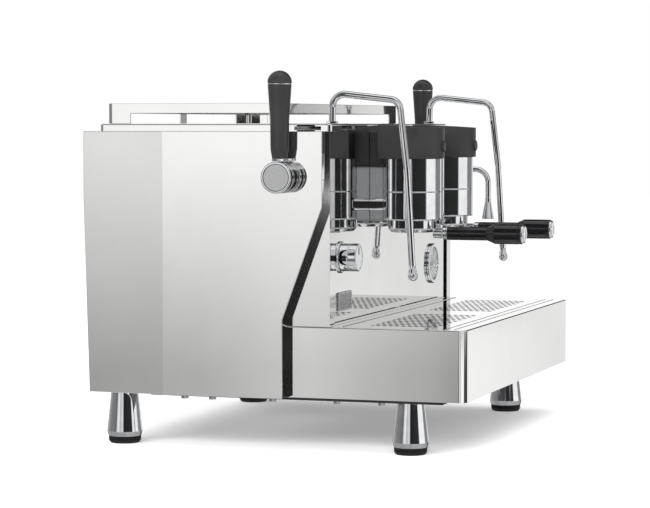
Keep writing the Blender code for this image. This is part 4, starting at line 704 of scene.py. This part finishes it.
def cup_rail():
    foot = COVER_Z + GAP
    outline = rail_outline()
    slots = bmesh.new()
    height = (foot - OVERRUN, RAIL_Z - 0.014)
    for sign in HANDS.values():
        block(sorted((sign * 0.291, sign * 0.303)), (0.029, 0.238), height, slots)
        block(sorted((sign * 0.013, sign * 0.237)), (0.268, 0.280), height, slots)
    block((-0.255, 0.255), (0.011, 0.023), height, slots)
    rail = carve(prism(outline, ALONG_Z, foot, RAIL_Z),
                 (CUT, prism(inset(outline, SHEET), ALONG_Z, foot - OVERRUN, RAIL_Z + OVERRUN)),
                 (CUT, slots))
    piece("cup_rail_band", rail, STEEL, "machine", "cup_rail", "polished_steel", 0.0004)


def on_panel_fold(one, two):
    """Whether an edge is on a side panel's outer skin, but not its shallow crease, which stays crisp."""
    creased = abs(one.y - CREASE_Y) < FUSE and abs(two.y - CREASE_Y) < FUSE
    return abs(one.x) > 0.329 and abs(two.x) > 0.329 and not creased


def panels():
    for hand in HANDS:
        shell = eased(f"side_panel_{hand}", STEEL, 0.0004, "polished_steel")
        folded(shell, PANEL_FOLD, on_panel_fold)
        cheeks = copied(f"side_frame_{hand}")
        for vert in cheeks.verts:
            if vert.co.y < FACE_Y + FUSE / 2:
                vert.co.y -= CHEEK_PROUD
        made = piece(f"side_frame_{hand}_shell", cheeks, MILL, "machine", f"side_frame_{hand}",
                     "polished_steel", 0.0004)
        # Painted shade: the cheeks' inner walls take the dark finish that stands for the shadow gap beside
        # the front
        second_finish(made, GAP_SHADE_DARK, lambda face: abs(face.center.x) < 0.299 and abs(face.normal.x) > 0.9)
    eased("rear_panel", STEEL, 0.0005, "polished_steel")
    eased("front_panel", MIRROR, 0.0003, "polished_steel")
    eased("drip_pan", SATIN, 0.0004, "brushed_steel")
    badge()


def badge():
    """Bare plate with a raised rim round a finely brushed field."""
    (low_x, high_x), (low_z, high_z) = BADGE_X, BADGE_Z
    front = FACE_Y - GAP - 0.002
    rim, field = 0.0028, 0.003
    plate = block(BADGE_X, (front, FACE_Y - GAP), BADGE_Z)
    recess = block((low_x + rim, high_x - rim), (front - OVERRUN, front + 0.0007),
                   (low_z + rim, high_z - rim))
    piece("badge_rim", carve(plate, (CUT, recess)), BRIGHT_SATIN, "machine", "badge_plate",
          "brushed_steel", 0.0004)
    flat = block((low_x + field, high_x - field), (front + 0.0005, front + 0.0009),
                 (low_z + field, high_z - field))
    piece("badge_field", flat, SATIN, "machine", None, "brushed_steel", 0.0001)


# Brewing groups


def group(hand):
    x = GROUP_X[hand]
    centre = at(x, GROUP_Y, 0)
    back = FACE_Y - GAP
    neck_z, neck_corner = (0.3165, 0.398), 0.006
    neck = prism(rounded((x - 0.015, x + 0.015), neck_z, neck_corner), ALONG_Y, GROUP_Y, back)
    bore_low, bore_high = 0.31, 0.404
    casting = carve(neck, (CUT, bore(BORE, bore_low, bore_high, centre)))
    piece(f"group_casting_{hand}", casting, CASTING, "machine", f"group_neck_{hand}", "chrome", 0.0012)
    band = prism(rounded((x - 0.020, x + 0.020), (0.3325, 0.3508), 0.005), ALONG_Y, GROUP_Y + 0.024, back)
    inside = prism(rounded((x - 0.0149, x + 0.0149), neck_z, neck_corner), ALONG_Y, GROUP_Y, back + OVERRUN)
    clamp = carve(band, (CUT, bore(BORE, bore_low, bore_high, centre)), (CUT, inside))
    piece(f"group_clamp_{hand}", clamp, CHROME, "machine", None, "chrome", 0.0006)

    wide, shoulder, top = BARREL_RADIUS, 0.345, 0.4087
    barrel = ((0, shoulder), (0.0376, shoulder), (0.0376, 0.3248), (0.0356, 0.3248, 0.0003),
              (0.0356, 0.3193, 0.0005), (wide, 0.3193, 0.0018), (wide, 0.3598, 0.0003), (0.0413, 0.3606),
              (wide, 0.3614, 0.0003), (wide, top, 0.0004), (0, top))
    piece(f"group_cylinder_{hand}", turned(barrel, centre, BARREL_SIDES), CHROME, "machine",
          f"group_barrel_{hand}", "chrome")

    rear_top, fall, wall, radius = 0.4575, 0.0045, 0.0025, HOOD_RADIUS
    rear = FACE_Y - 0.022
    front = GROUP_Y - radius
    plan = arc((x, GROUP_Y), radius, 180, 360, FEW_SIDES) + [(x + radius, rear), (x - radius, rear)]
    run = rear - front
    sky = rear_top + OVERRUN
    wedge = ((rear + OVERRUN, rear_top), (rear + OVERRUN, sky), (front - OVERRUN, sky),
             (front - OVERRUN, rear_top - fall * (run + OVERRUN) / run), (rear, rear_top))
    inner = radius - wall
    lining = arc((x, GROUP_Y), inner, 180, 360, FEW_SIDES) + [(x + inner, rear - wall),
                                                              (x - inner, rear - wall)]
    press_axis = at(x, front, BUTTON_Z, ALONG_Y)
    cap = carve(prism(plan, ALONG_Z, HOOD_FOOT, rear_top),
                (CUT, prism(wedge, ALONG_X, x - radius - OVERRUN, x + radius + OVERRUN)),
                (JOIN, block((x - 0.017, x + 0.017), (rear - wall, back), (0.3985, 0.447))),
                (CUT, bore(BORE, 0.39, HOOD_FOOT, centre)),
                (CUT, prism(lining, ALONG_Z, HOOD_FOOT - OVERRUN, rear_top - fall - wall)),
                (CUT, bore(0.0083, -OVERRUN, 0.0085, press_axis, FEW_SIDES)))
    piece(f"group_hood_{hand}", cap, NYLON, "machine", f"group_cap_{hand}", "matte_black", 0.0012)

    press = ((0, -0.0022, 0), (0.0045, -0.0022, 0.002), (0.0062, -0.0025, 0.0006), (0.008, -0.0015, 0.0004),
             (0.008, 0.006), (0, 0.006))
    piece(f"brew_push_{hand}", turned(press, press_axis, FINE_SIDES), NYLON, f"button_{hand}",
          f"brew_button_{hand}", "gloss_black")


def portafilter(hand):
    x = GROUP_X[hand]
    centre = at(x, GROUP_Y, 0)
    axis = at(x, GROUP_Y, HOLDER_Z, ALONG_Y)
    rides = f"portafilter_{hand}"
    body = ((0.0268, 0.3018, 0.0004), (0.0300, 0.3018, 0.0015), (0.0350, 0.3068, 0.003),
            (0.0350, 0.3365, 0.0004), (0.0308, 0.3365, 0.0003), (0.0308, 0.3063), (0.0268, 0.3063))
    ears = bmesh.new()
    for start in (-22, 158):
        outer = arc((x, GROUP_Y), 0.037, start, start + 44, 12)
        prism(outer + arc((x, GROUP_Y), 0.034, start + 44, start, 12), ALONG_Z, 0.3251, 0.3311, ears)
    spur = ((0, -0.0329), (0.0072, -0.0329), (0.0072, -0.0458, 0.0006), (0.0095, -0.0480, 0.0006),
            (0.0095, -0.0512, 0.0003), (0.0088, -0.0516), (0.0088, -0.0520), (0.0095, -0.0524, 0.0003),
            (0.0095, -0.0540, 0.0004), (0, -0.0540))
    holder = carve(turned(body, centre, ring=True), (JOIN, ears),
                   (JOIN, turned(spur, axis, FINE_SIDES)))
    piece(f"filter_cup_{hand}", holder, CHROME, rides, f"filter_holder_{hand}", "chrome", sharp=28)

    slim = -0.0543
    taper = slim - 0.0592
    thick = taper - 0.011
    band = thick - 0.0402
    grip = ((0, slim), (0.0092, slim, 0.0004), (0.00965, slim - 0.0015, 0.001), (0.00965, taper, 0.006),
            (0.0145, thick, 0.005), (0.0145, band + 0.0050, 0.0005), (0.0138, band + 0.0044),
            (0.0138, band + 0.0036), (0.0145, band + 0.0030, 0.0005), (0.0145, band + 0.0004, 0.0008),
            (0, band))
    piece(f"portafilter_grip_{hand}", turned(grip, axis), PHENOLIC, rides, f"portafilter_handle_{hand}",
          "gloss_black")
    tip = ((0, band + FUSE), (0.0128, band + FUSE), (0.0136, band - 0.0004, 0.0004),
           (0.0128, band - 0.0026, 0.001), (0.0110, band - 0.0040, 0.0008), (0.0060, band - 0.0040, 0.0004),
           (0.0056, band - 0.0034), (0, band - 0.0034))
    piece(f"portafilter_tip_{hand}", turned(tip, axis), CHROME, rides, None, "chrome")

    skin, top, bottom, thin = 0.0305, 0.3368, 0.3103, 0.0012
    cup = ((0, bottom), (skin - 0.0008, bottom, 0.002), (skin, top - 0.014, 0), (skin, top, 0),
           (0.0333, top, 0.0003), (0.0333, top + thin, 0.0004), (skin - thin, top + thin, 0.0006),
           (skin - thin, bottom + thin, 0.002), (0, bottom + thin))
    piece(f"coffee_basket_{hand}", turned(cup, centre), SATIN, rides, f"filter_basket_{hand}",
          "brushed_steel")


# Levers, valves and wands


def steam_lever(hand, sign):
    axis = at(0, LEVER_Y, LEVER_Z, Matrix.Scale(sign, 4, (1, 0, 0)) @ ALONG_X)
    back = 0.3443
    face = back + 0.035
    waist = back + 0.009
    ring = face - 0.010
    rides = f"steam_lever_{hand}"
    hub = ((0, 0.3013), (0.008, 0.3013), (0.008, back), (0.0203, back, 0.0004), (0.0203, waist, 0.0003),
           (0.0212, waist), (0.022, waist + 0.0006, 0.0006), (0.022, ring - 0.0052, 0.0003),
           (0.0212, ring - 0.0046), (0.022, ring - 0.0040, 0.0003), (0.022, ring - 0.0009, 0.0003),
           (0.0208, ring), (0.022, ring + 0.0009, 0.0003), (0.022, face, 0.0014), (0.0190, face, 0.0003),
           (0.0187, face - 0.0005), (0, face - 0.0005))
    piece(f"lever_boss_{hand}", turned(hub, axis), CHROME, rides, f"lever_hub_{hand}", "chrome")
    disc = ((0, face - 0.0002, 0), (0.0178, face - 0.0002, 0.0002), (0.0178, face - 0.0008),
            (0, face - 0.0008))
    piece(f"lever_disc_{hand}", turned(disc, axis), BRIGHT_SATIN, rides, None, "brushed_steel")
    # Painted shade: a flat black ring stands for the shadow in the narrow gap between the disc and the hub
    gap_shade = ((0.0180, face - 0.0003), (0.0189, face - 0.0003), (0.0189, face - 0.0008),
              (0.0180, face - 0.0008))
    piece(f"lever_gap_shade_{hand}", turned(gap_shade, axis, ring=True), PRINT_AND_SHADE_BLACK, rides, None, "gloss_black")

    upright = at(sign * 0.3618, LEVER_Y, LEVER_Z)
    foot = 0.0223
    low = foot + 0.0035
    ferrule = ((0, foot), (0.0108, foot, 0.0005), (0.0110, low, 0.0003), (0, low))
    piece(f"lever_ferrule_{hand}", turned(ferrule, upright), CHROME, rides, None, "chrome")
    crown = [(radius, height, 0) for height, radius in arc((0.1295, 0), 0.0169, 86, 0, 14)[:-1]]
    grip = [(0, low), (0.0104, low, 0.0004), (0.0112, low + 0.004, 0.004), (0.0127, foot + 0.0175, 0.01),
            (0.0131, 0.0785, 0.02), (0.0164, 0.1272, 0.001), (0.0159, 0.1280), (0.0159, 0.1288)]
    piece(f"lever_grip_{hand}", turned(grip + crown + [(0, 0.1465)], upright), SOFT_TOUCH, rides,
          f"lever_handle_{hand}", "matte_black")
    seam = ((0, 0.1273), (0.0164, 0.1273, 0.0003), (0.0164, 0.1288, 0.0003), (0, 0.1288))
    piece(f"lever_seam_{hand}", turned(seam, upright), CHROME, rides, None, "chrome")

    valve = eased(f"steam_valve_{hand}", BRASS, 0.0004, "brass")
    second_finish(valve, CHROME, lambda face: face.center.z > CROWN_Z)


def steam_wand(hand, sign):
    corners = (((0, CROWN_Z + FUSE), 0), ((FUSE, 0.5025), 0.018), ((0.1005, 0.4915), 0.016),
               ((0.1115, 0.395), 0.150), ((0.1213, 0.2405), 0))
    path = soften(corners, steps=14)
    end = Vector(path.pop())
    run = (end - Vector(path[-1])).normalized()
    radii = [0.00475] * len(path)
    tip_length, tip_radius = 0.022, 0.007
    for back, size in ((1.0, 0.68), (0.9, 0.69), (0.75, 0.76), (0.62, 0.86), (0.5, 0.94), (0.4, 0.985),
                       (0.32, 1), (0.22, 0.95), (0.15, 0.86), (0.09, 0.72), (0.04, 0.5), (0.01, 0.3),
                       (0, 0.2)):
        path.append(tuple(end - run * tip_length * back))
        radii.append(tip_radius * size)
    turn = math.radians(3.4)
    direction = Vector((sign * math.sin(turn), -math.cos(turn), 0))
    foot = Vector((sign * WAND_X, WAND_Y, 0))
    points = [foot + direction * reach + Vector((0, 0, height)) for reach, height in path]
    piece(f"wand_tube_{hand}", swept(points, radii), CHROME, f"wand_{hand}", f"steam_wand_{hand}", "chrome")


def wand_nut(hand, sign):
    low, high = COVER_Z + GAP, COVER_Z + 0.004
    nut = turned(((0.0056, low), (0.0088, low), (0.0088, high), (0.0056, high)),
                 at(sign * WAND_X, WAND_Y, 0), 6, ring=True)
    piece(f"wand_nut_{hand}", nut, CHROME, "machine", None, "chrome", 0.0005)


def hot_water():
    corners = (((0.014, SPOUT_Z), 0), ((-SPOUT_REACH, SPOUT_Z), 0.020), ((-SPOUT_REACH, 0.336), 0))
    points = [(SPOUT_X, FACE_Y + reach, height) for reach, height in soften(corners, steps=14)]
    piece("spout_tube", swept(points, [0.0043] * len(points)), CHROME, "machine", "hot_water_spout", "chrome")
    nut = bore(0.0085, -0.007, -GAP, at(SPOUT_X, FACE_Y, SPOUT_Z, ALONG_Y), 6)
    piece("spout_nut", nut, CHROME, "machine", None, "chrome", 0.0005)
    cone = ((0.0030, 0.310, 0.0003), (0.0095, 0.310, 0.0005), (0.0048, 0.336, 0.002), (0.0048, 0.343, 0.0004),
            (0.0043, 0.343), (0.0030, 0.335))
    piece("spout_nozzle", turned(cone, at(SPOUT_X, FACE_Y - SPOUT_REACH, 0), FINE_SIDES, ring=True), CHROME,
          "machine", None, "chrome")


# Gauge and switch


def dial_marks():
    """Short strokes laid round the dial by one tree, run once for the long and once for the short ones."""
    ranges = {"long": (0.0034, 0.0006, DIAL_NUMBERS), "short": (0.0020, 0.0003, 31)}
    runs = {label: {"Radius": MARK_RADIUS - length / 2, "Length": length, "Width": width, "Count": count,
                    "Step": math.radians(DIAL_SWEEP) / (count - 1)}
            for label, (length, width, count) in ranges.items()}
    tree, feed, known = tree_for("dial_marks", runs["long"])
    turn = add(tree, "GeometryNodeInputIndex")
    for operation, second in (("MULTIPLY", feed["Step"]), ("ADD", math.radians(-DIAL_START))):
        turn = add(tree, "ShaderNodeMath", {0: turn, 1: second}, operation=operation)
    place = {}
    for axis, operation in (("X", "COSINE"), ("Z", "SINE")):
        part = add(tree, "ShaderNodeMath", {0: turn}, operation=operation)
        place[axis] = add(tree, "ShaderNodeMath", {0: part, 1: feed["Radius"]}, operation="MULTIPLY")
    line = add(tree, "GeometryNodeMeshLine", {"Count": feed["Count"]})
    laid = add(tree, "GeometryNodeSetPosition", {
        "Geometry": line, "Position": add(tree, "ShaderNodeCombineXYZ", place)})
    size = add(tree, "ShaderNodeCombineXYZ", {"X": feed["Length"], "Y": 0.0002, "Z": feed["Width"]})
    back_turn = add(tree, "ShaderNodeMath", {0: turn, 1: -1.0}, operation="MULTIPLY")
    spots = add(tree, "GeometryNodeInstanceOnPoints", {
        "Points": laid, "Instance": add(tree, "GeometryNodeMeshCube", {"Size": size}),
        "Rotation": add(tree, "ShaderNodeCombineXYZ", {"Y": back_turn})})
    moved = add(tree, "GeometryNodeTransform", {
        "Geometry": spots, "Translation": (GAUGE_X, FACE_Y + 0.00165, GAUGE_Z)})
    close_tree(tree, moved, PRINT_AND_SHADE_BLACK)
    for label, values in runs.items():
        grown(f"dial_marks_{label}", bpy.data.meshes.new("dial_seed"), tree, known, values, "machine",
              slot="white_paint")


def dial_number(i):
    curve = bpy.data.curves.new(f"dial_number_{i}", "FONT")
    curve.body = str(i * DIAL_STEP)
    curve.size = 0.0048
    curve.align_x = "CENTER"
    curve.align_y = "CENTER"
    curve.extrude = 0.00008
    mesh = plain(linked("number", curve))
    angle = math.radians(DIAL_START - DIAL_SWEEP / (DIAL_NUMBERS - 1) * i)
    centre = Vector((GAUGE_X + NUMBER_RADIUS * math.cos(angle), FACE_Y + 0.00162,
                     GAUGE_Z + NUMBER_RADIUS * math.sin(angle)))
    mesh.transform(Matrix.Translation(centre) @ Matrix.Rotation(math.radians(90), 4, "X"))
    number = linked(f"dial_number_{i}", mesh)
    mesh.materials.clear()
    finish_piece(number, PRINT_AND_SHADE_BLACK, "machine", slot="white_paint")


def gauge():
    axis = at(GAUGE_X, FACE_Y, GAUGE_Z, ALONG_Y)
    case = ((0, 0.003), (0.0255, 0.003), (0.0255, -0.0036, 0.0003), (0.0262, -0.0045, 0.0003),
            (0.0305, -0.0045, 0.0008), (0.0315, -0.0034, 0.0006), (0.0315, -GAP, 0.0003), (0.0265, -GAP),
            (0.0265, 0.024), (0, 0.024))
    piece("gauge_bezel", turned(case, axis), CHROME, "machine", "gauge_case", "chrome")
    dial = ((0, 0.0017), (0.0252, 0.0017, 0.0002), (0.0252, 0.0027), (0, 0.0027))
    piece("gauge_face", turned(dial, axis), ENAMEL, "machine", "gauge_dial", "white_paint")
    glass = ((0, -0.0035), (0.0252, -0.0035, 0.0002), (0.0252, -0.0021, 0.0002), (0, -0.0021))
    piece("gauge_window", turned(glass, axis), GLASS, "machine", "gauge_glass", "clear_glass")
    dial_marks()
    for i in range(DIAL_NUMBERS):
        dial_number(i)

    hub = ((0, -0.0018), (0.0022, -0.0018, 0.0003), (0.0028, -0.0007, 0.0003), (0.0028, 0.0014),
           (0, 0.0014))
    blade = ((-0.0018, -0.007), (0.0018, -0.007), (0.0012, -0.002), (0.0008, 0.004), (0.00035, 0.021),
             (-0.00035, 0.021), (-0.0008, 0.004), (-0.0012, -0.002))
    lean = axis @ Matrix.Rotation(math.radians(135), 4, "Z")
    needle = carve(turned(hub, axis, FEW_SIDES), (JOIN, prism(blade, lean, -0.0005, 0.0002)))
    piece("needle_hand", needle, LACQUER, "needle", "gauge_needle", "black_paint")


def switch():
    axis = at(SWITCH_X, FACE_Y, SWITCH_Z, ALONG_Y)
    plinth = ((0, GAP), (0.0043, GAP), (0.0043, -0.003), (0.0205, -0.003, 0.0003), (0.0225, -0.0018, 0.0006),
              (0.0225, -GAP, 0), (0.015, -GAP), (0.015, 0.028), (0, 0.028))
    piece("switch_ring", turned(plinth, axis), CHROME, "machine", "switch_base", "chrome")
    knob = ((0, 0), (0.004, 0), (0.004, -0.0033), (0.0190, -0.0033, 0.0003), (0.0195, -0.0040, 0.0003),
            (0.0195, -0.0147, 0.0003), (0.0185, -0.0159), (0.0195, -0.0171, 0.0003),
            (0.0195, -0.0280, 0.0012), (0.0165, -0.0280, 0.0003), (0.0160, -0.0274, 0.0003), (0, -0.0274))
    piece("switch_handle", turned(knob, axis), CHROME, "knob", "switch_knob", "chrome")
    mark = block((SWITCH_X - 0.0006, SWITCH_X + 0.0006), (FACE_Y - 0.0279, FACE_Y - 0.0270),
                 (SWITCH_Z + 0.004, SWITCH_Z + 0.0145))
    piece("switch_mark", mark, PRINT_AND_SHADE_BLACK, "knob", None, "gloss_black", 0.0002)


def inside():
    """The pieces inside the body keep their own shape."""
    finishes = {"boiler": COPPER, "boiler_cradle": SATIN, "pump": BRASS, "pump_motor": ENAMEL_GREY,
                "control_box": ABS_GREY}
    for hand in HANDS:
        finishes[f"group_gasket_{hand}"] = RUBBER
        finishes[f"shower_screen_{hand}"] = SATIN
    for node, finish in finishes.items():
        data = frame["nodes"][node].data
        data.materials.clear()
        data.materials.append(finish)


# Studio

# Where the camera stands and how it looks, in metres, degrees and millimetres of lens
CAMERA_PLACE = (-3.5649, -1.1122, 0.4588)
CAMERA_AZIMUTH, CAMERA_TILT = 17.955, 3.014
CAMERA_SENSOR, CAMERA_LENS = 36, 136.78

# Name, place, aim, width and height, and power of each lamp; polished metal doesn't mirror them
LAMPS = (
    ("top_softbox", (-0.2, -0.3, 2.6), (0, 0, 0.3), (2.6, 2.2), 30),
    ("side_softbox", (-2.6, 0.2, 1.2), (0, 0, 0.05), (3.6, 0.9), 110),
    ("front_softbox", (-0.6, -2.8, 1.2), (0, 0, 0.3), (2.0, 1.6), 18),
)

# In the photo's view: what the flat left sides mirror at low elevations, and what only round pieces do
SIDE_RUN = ((150, 0.37), (155, 0.39), (158, 0.41), (159.8, 0.45), (161.2, 0.64), (162, 0.61), (163.3, 0.48),
            (165, 0.41))
ROUND_RUN = ((194, 0.02), (250, 0.03), (256, 1.0), (297, 1.0))
# What polished metal sees round it, from the floor up: the two elevations in degrees between which a ring
# takes over from the one below it, and the ring's (azimuth in degrees from +X, grey) stops
TENT = (
    (-34, -27, ((0, 0.50), (60, 0.50), (100, 0.45), (140, 0.25), (176, 0.15), (180, 0.02), (206, 0.02),
                (212, 0.50), (330, 0.50), (336, 0.03), (352, 0.03), (357, 0.50), (360, 0.50))),
    (-9.5, -7.5, ((0, 0.60), (20, 0.50), (30, 0.12), (145, 0.12), *SIDE_RUN, (167, 0.05), (173, 0.05),
                  (175, 0.45), (183, 0.45), (185, 1.0), (195.5, 1.0), (196.5, 0.01), (201.5, 0.01),
                  (202.5, 1.0), (252, 1.0), (256, 0.05), (338, 0.05), (341, 0.95), (345.4, 0.96),
                  (346.5, 0.86), (348, 0.76), (354, 0.60), (360, 0.60))),
    (-4.9, -4.3, ((0, 0.85), (18, 0.70), (60, 0.60), (100, 0.45), (135, 0.40), (145, 0.20), *SIDE_RUN,
                  (168, 0.06), (172, 0.40), (188, 0.55), *ROUND_RUN, (303, 0.25), (334, 0.25), (338, 1.0),
                  (342, 1.0), (343.5, 0.80), (345, 0.74), (350, 0.9), (356, 0.85), (360, 0.85))),
    (-5.7, -0.5, ((0, 0.85), (18, 0.70), (60, 0.35), (100, 0.22), (138, 0.22), (145, 0.15), (147, 0.70),
                  (150, 0.80), (155, 0.80), (157, 0.98), (163, 0.98), (168, 0.50), (188, 0.75), *ROUND_RUN,
                  (303, 0.25), (334, 0.25), (338, 0.30), (341.2, 0.35), (342.6, 0.70), (343.8, 0.80),
                  (345, 0.78), (350, 0.9), (356, 0.85), (360, 0.85))),
    (1.5, 3.5, ((0, 1.0), (40, 1.0), (60, 0.55), (100, 0.25), (142, 0.15), (150, 0.78), (163, 0.97),
                (168, 0.50), (188, 0.80), *ROUND_RUN, (303, 0.06), (334, 0.10), (338, 0.62), (348, 0.62),
                (352, 1.0), (360, 1.0))),
    (6, 9, ((0, 0.02), (78, 0.02), (86, 0.25), (118, 0.35), (126, 0.50), (150, 0.60), (160, 0.80),
            (187, 0.95), (190, 0.03), (220, 0.03), (223, 1.0), (251, 1.0), (256, 0.15), (296, 0.20),
            (302, 0.90), (322, 0.90), (330, 0.05), (360, 0.03))),
    (14, 18, ((0, 0.05), (20, 0.06), (35, 0.50), (130, 0.50), (145, 0.06), (172, 0.06), (190, 0.60),
              (320, 0.55), (335, 0.05), (360, 0.05))),
    (60, 68, ((0, 1.0), (360, 1.0))),
)
FLOOR_GREY = 0.62
FLOOR_GLOW = 0.29


def look_along(made, direction):
    """Turn a camera or lamp to look along a direction."""
    made.rotation_mode = "QUATERNION"
    made.rotation_quaternion = direction.to_track_quat("-Z", "Y")


def camera():
    lens = bpy.data.cameras.new("camera")
    lens.sensor_width = CAMERA_SENSOR
    lens.lens = CAMERA_LENS
    lens.clip_end = 60
    made = linked("camera", lens)
    azimuth, tilt = math.radians(CAMERA_AZIMUTH), math.radians(CAMERA_TILT)
    level = math.cos(tilt)
    made.location = CAMERA_PLACE
    look_along(made, Vector((math.cos(azimuth) * level, math.sin(azimuth) * level, -math.sin(tilt))))
    bpy.context.scene.camera = made


def lamp(name, place, aim, size, power):
    light = bpy.data.lights.new(name, "AREA")
    light.shape = "RECTANGLE"
    light.size, light.size_y = size
    light.energy = power
    made = linked(name, light)
    made.location = place
    look_along(made, Vector(aim) - Vector(place))
    made.visible_glossy = False


def world():
    made = bpy.data.worlds.new("studio")
    bpy.context.scene.world = made
    made.use_nodes = True
    tree = made.node_tree
    tree.nodes.clear()
    direction = add(tree, "ShaderNodeTexCoord").outputs["Generated"]
    parts = add(tree, "ShaderNodeSeparateXYZ", {"Vector": direction}).outputs
    around = parts["Y"]
    for operation, second in (("ARCTAN2", parts["X"]), ("DIVIDE", 2 * math.pi), ("ADD", 1.0),
                              ("FRACT", 0.0)):
        around = add(tree, "ShaderNodeMath", {0: around, 1: second}, operation=operation)
    up = add(tree, "ShaderNodeMath", {0: parts["Z"]}, operation="ARCSINE")
    up = add(tree, "ShaderNodeMath", {0: up, 1: 180 / math.pi}, operation="MULTIPLY")
    shade = (FLOOR_GREY, FLOOR_GREY, FLOOR_GREY, 1)
    for lower, upper, stops in TENT:
        ramp = add(tree, "ShaderNodeValToRGB", {"Fac": around})
        marks = ramp.color_ramp.elements
        while len(marks) < len(stops):
            marks.new(1.0)
        for mark, (azimuth, grey) in zip(marks, stops):
            mark.position = azimuth / 360
            mark.color = (grey, grey, grey, 1)
        lift = add(tree, "ShaderNodeMapRange", {"Value": up, "From Min": lower, "From Max": upper})
        shade = add(tree, "ShaderNodeMix", {0: lift, 6: shade, 7: ramp}, data_type="RGBA").outputs[2]
    overhead = add(tree, "ShaderNodeMapRange", {"Value": up, "From Min": 0, "From Max": 60, "To Min": 0.35,
                                                "To Max": 1.05})
    ray = add(tree, "ShaderNodeLightPath").outputs
    tent = add(tree, "ShaderNodeBackground", {"Color": shade, "Strength": 1.0})
    room = add(tree, "ShaderNodeBackground", {"Color": (1, 1, 1, 1), "Strength": overhead})
    white = add(tree, "ShaderNodeBackground", {"Color": (1, 1, 1, 1), "Strength": 1.0})
    shown = add(tree, "ShaderNodeMixShader", {0: ray["Is Glossy Ray"], 1: room, 2: tent})
    shown = add(tree, "ShaderNodeMixShader", {0: ray["Is Camera Ray"], 1: shown, 2: white})
    add(tree, "ShaderNodeOutputWorld", {"Surface": shown})


def floor():
    bm = bmesh.new()
    bmesh.ops.create_circle(bm, cap_ends=True, segments=SIDES, radius=12)
    made = raw("studio_floor", bm)
    finish = coat("pale_studio_floor", (((3, 3, 3), 3.0),), ("#EEEEEE", "#F0F0F0"), Roughness=0.9,
                  Specular_IOR_Level=0.0, Emission_Color=(1, 1, 1, 1))
    tree = finish.node_tree
    seen = add(tree, "ShaderNodeLightPath").outputs["Is Camera Ray"]
    glow = add(tree, "ShaderNodeMath", {0: seen, 1: FLOOR_GLOW}, operation="MULTIPLY")
    tree.links.new(glow.outputs[0], tree.nodes["Principled BSDF"].inputs["Emission Strength"])
    made.data.materials.append(finish)
    made.visible_glossy = False


def main():
    bpy.context.scene.view_settings.view_transform = "Standard"
    camera()
    world()
    for settings in LAMPS:
        lamp(*settings)
    floor()
    base()
    feet()
    drip_box()
    drip_grid()
    top_cover()
    cup_rail()
    panels()
    for hand, sign in HANDS.items():
        group(hand)
        portafilter(hand)
        steam_lever(hand, sign)
        steam_wand(hand, sign)
        wand_nut(hand, sign)
    hot_water()
    gauge()
    switch()
    inside()


main()
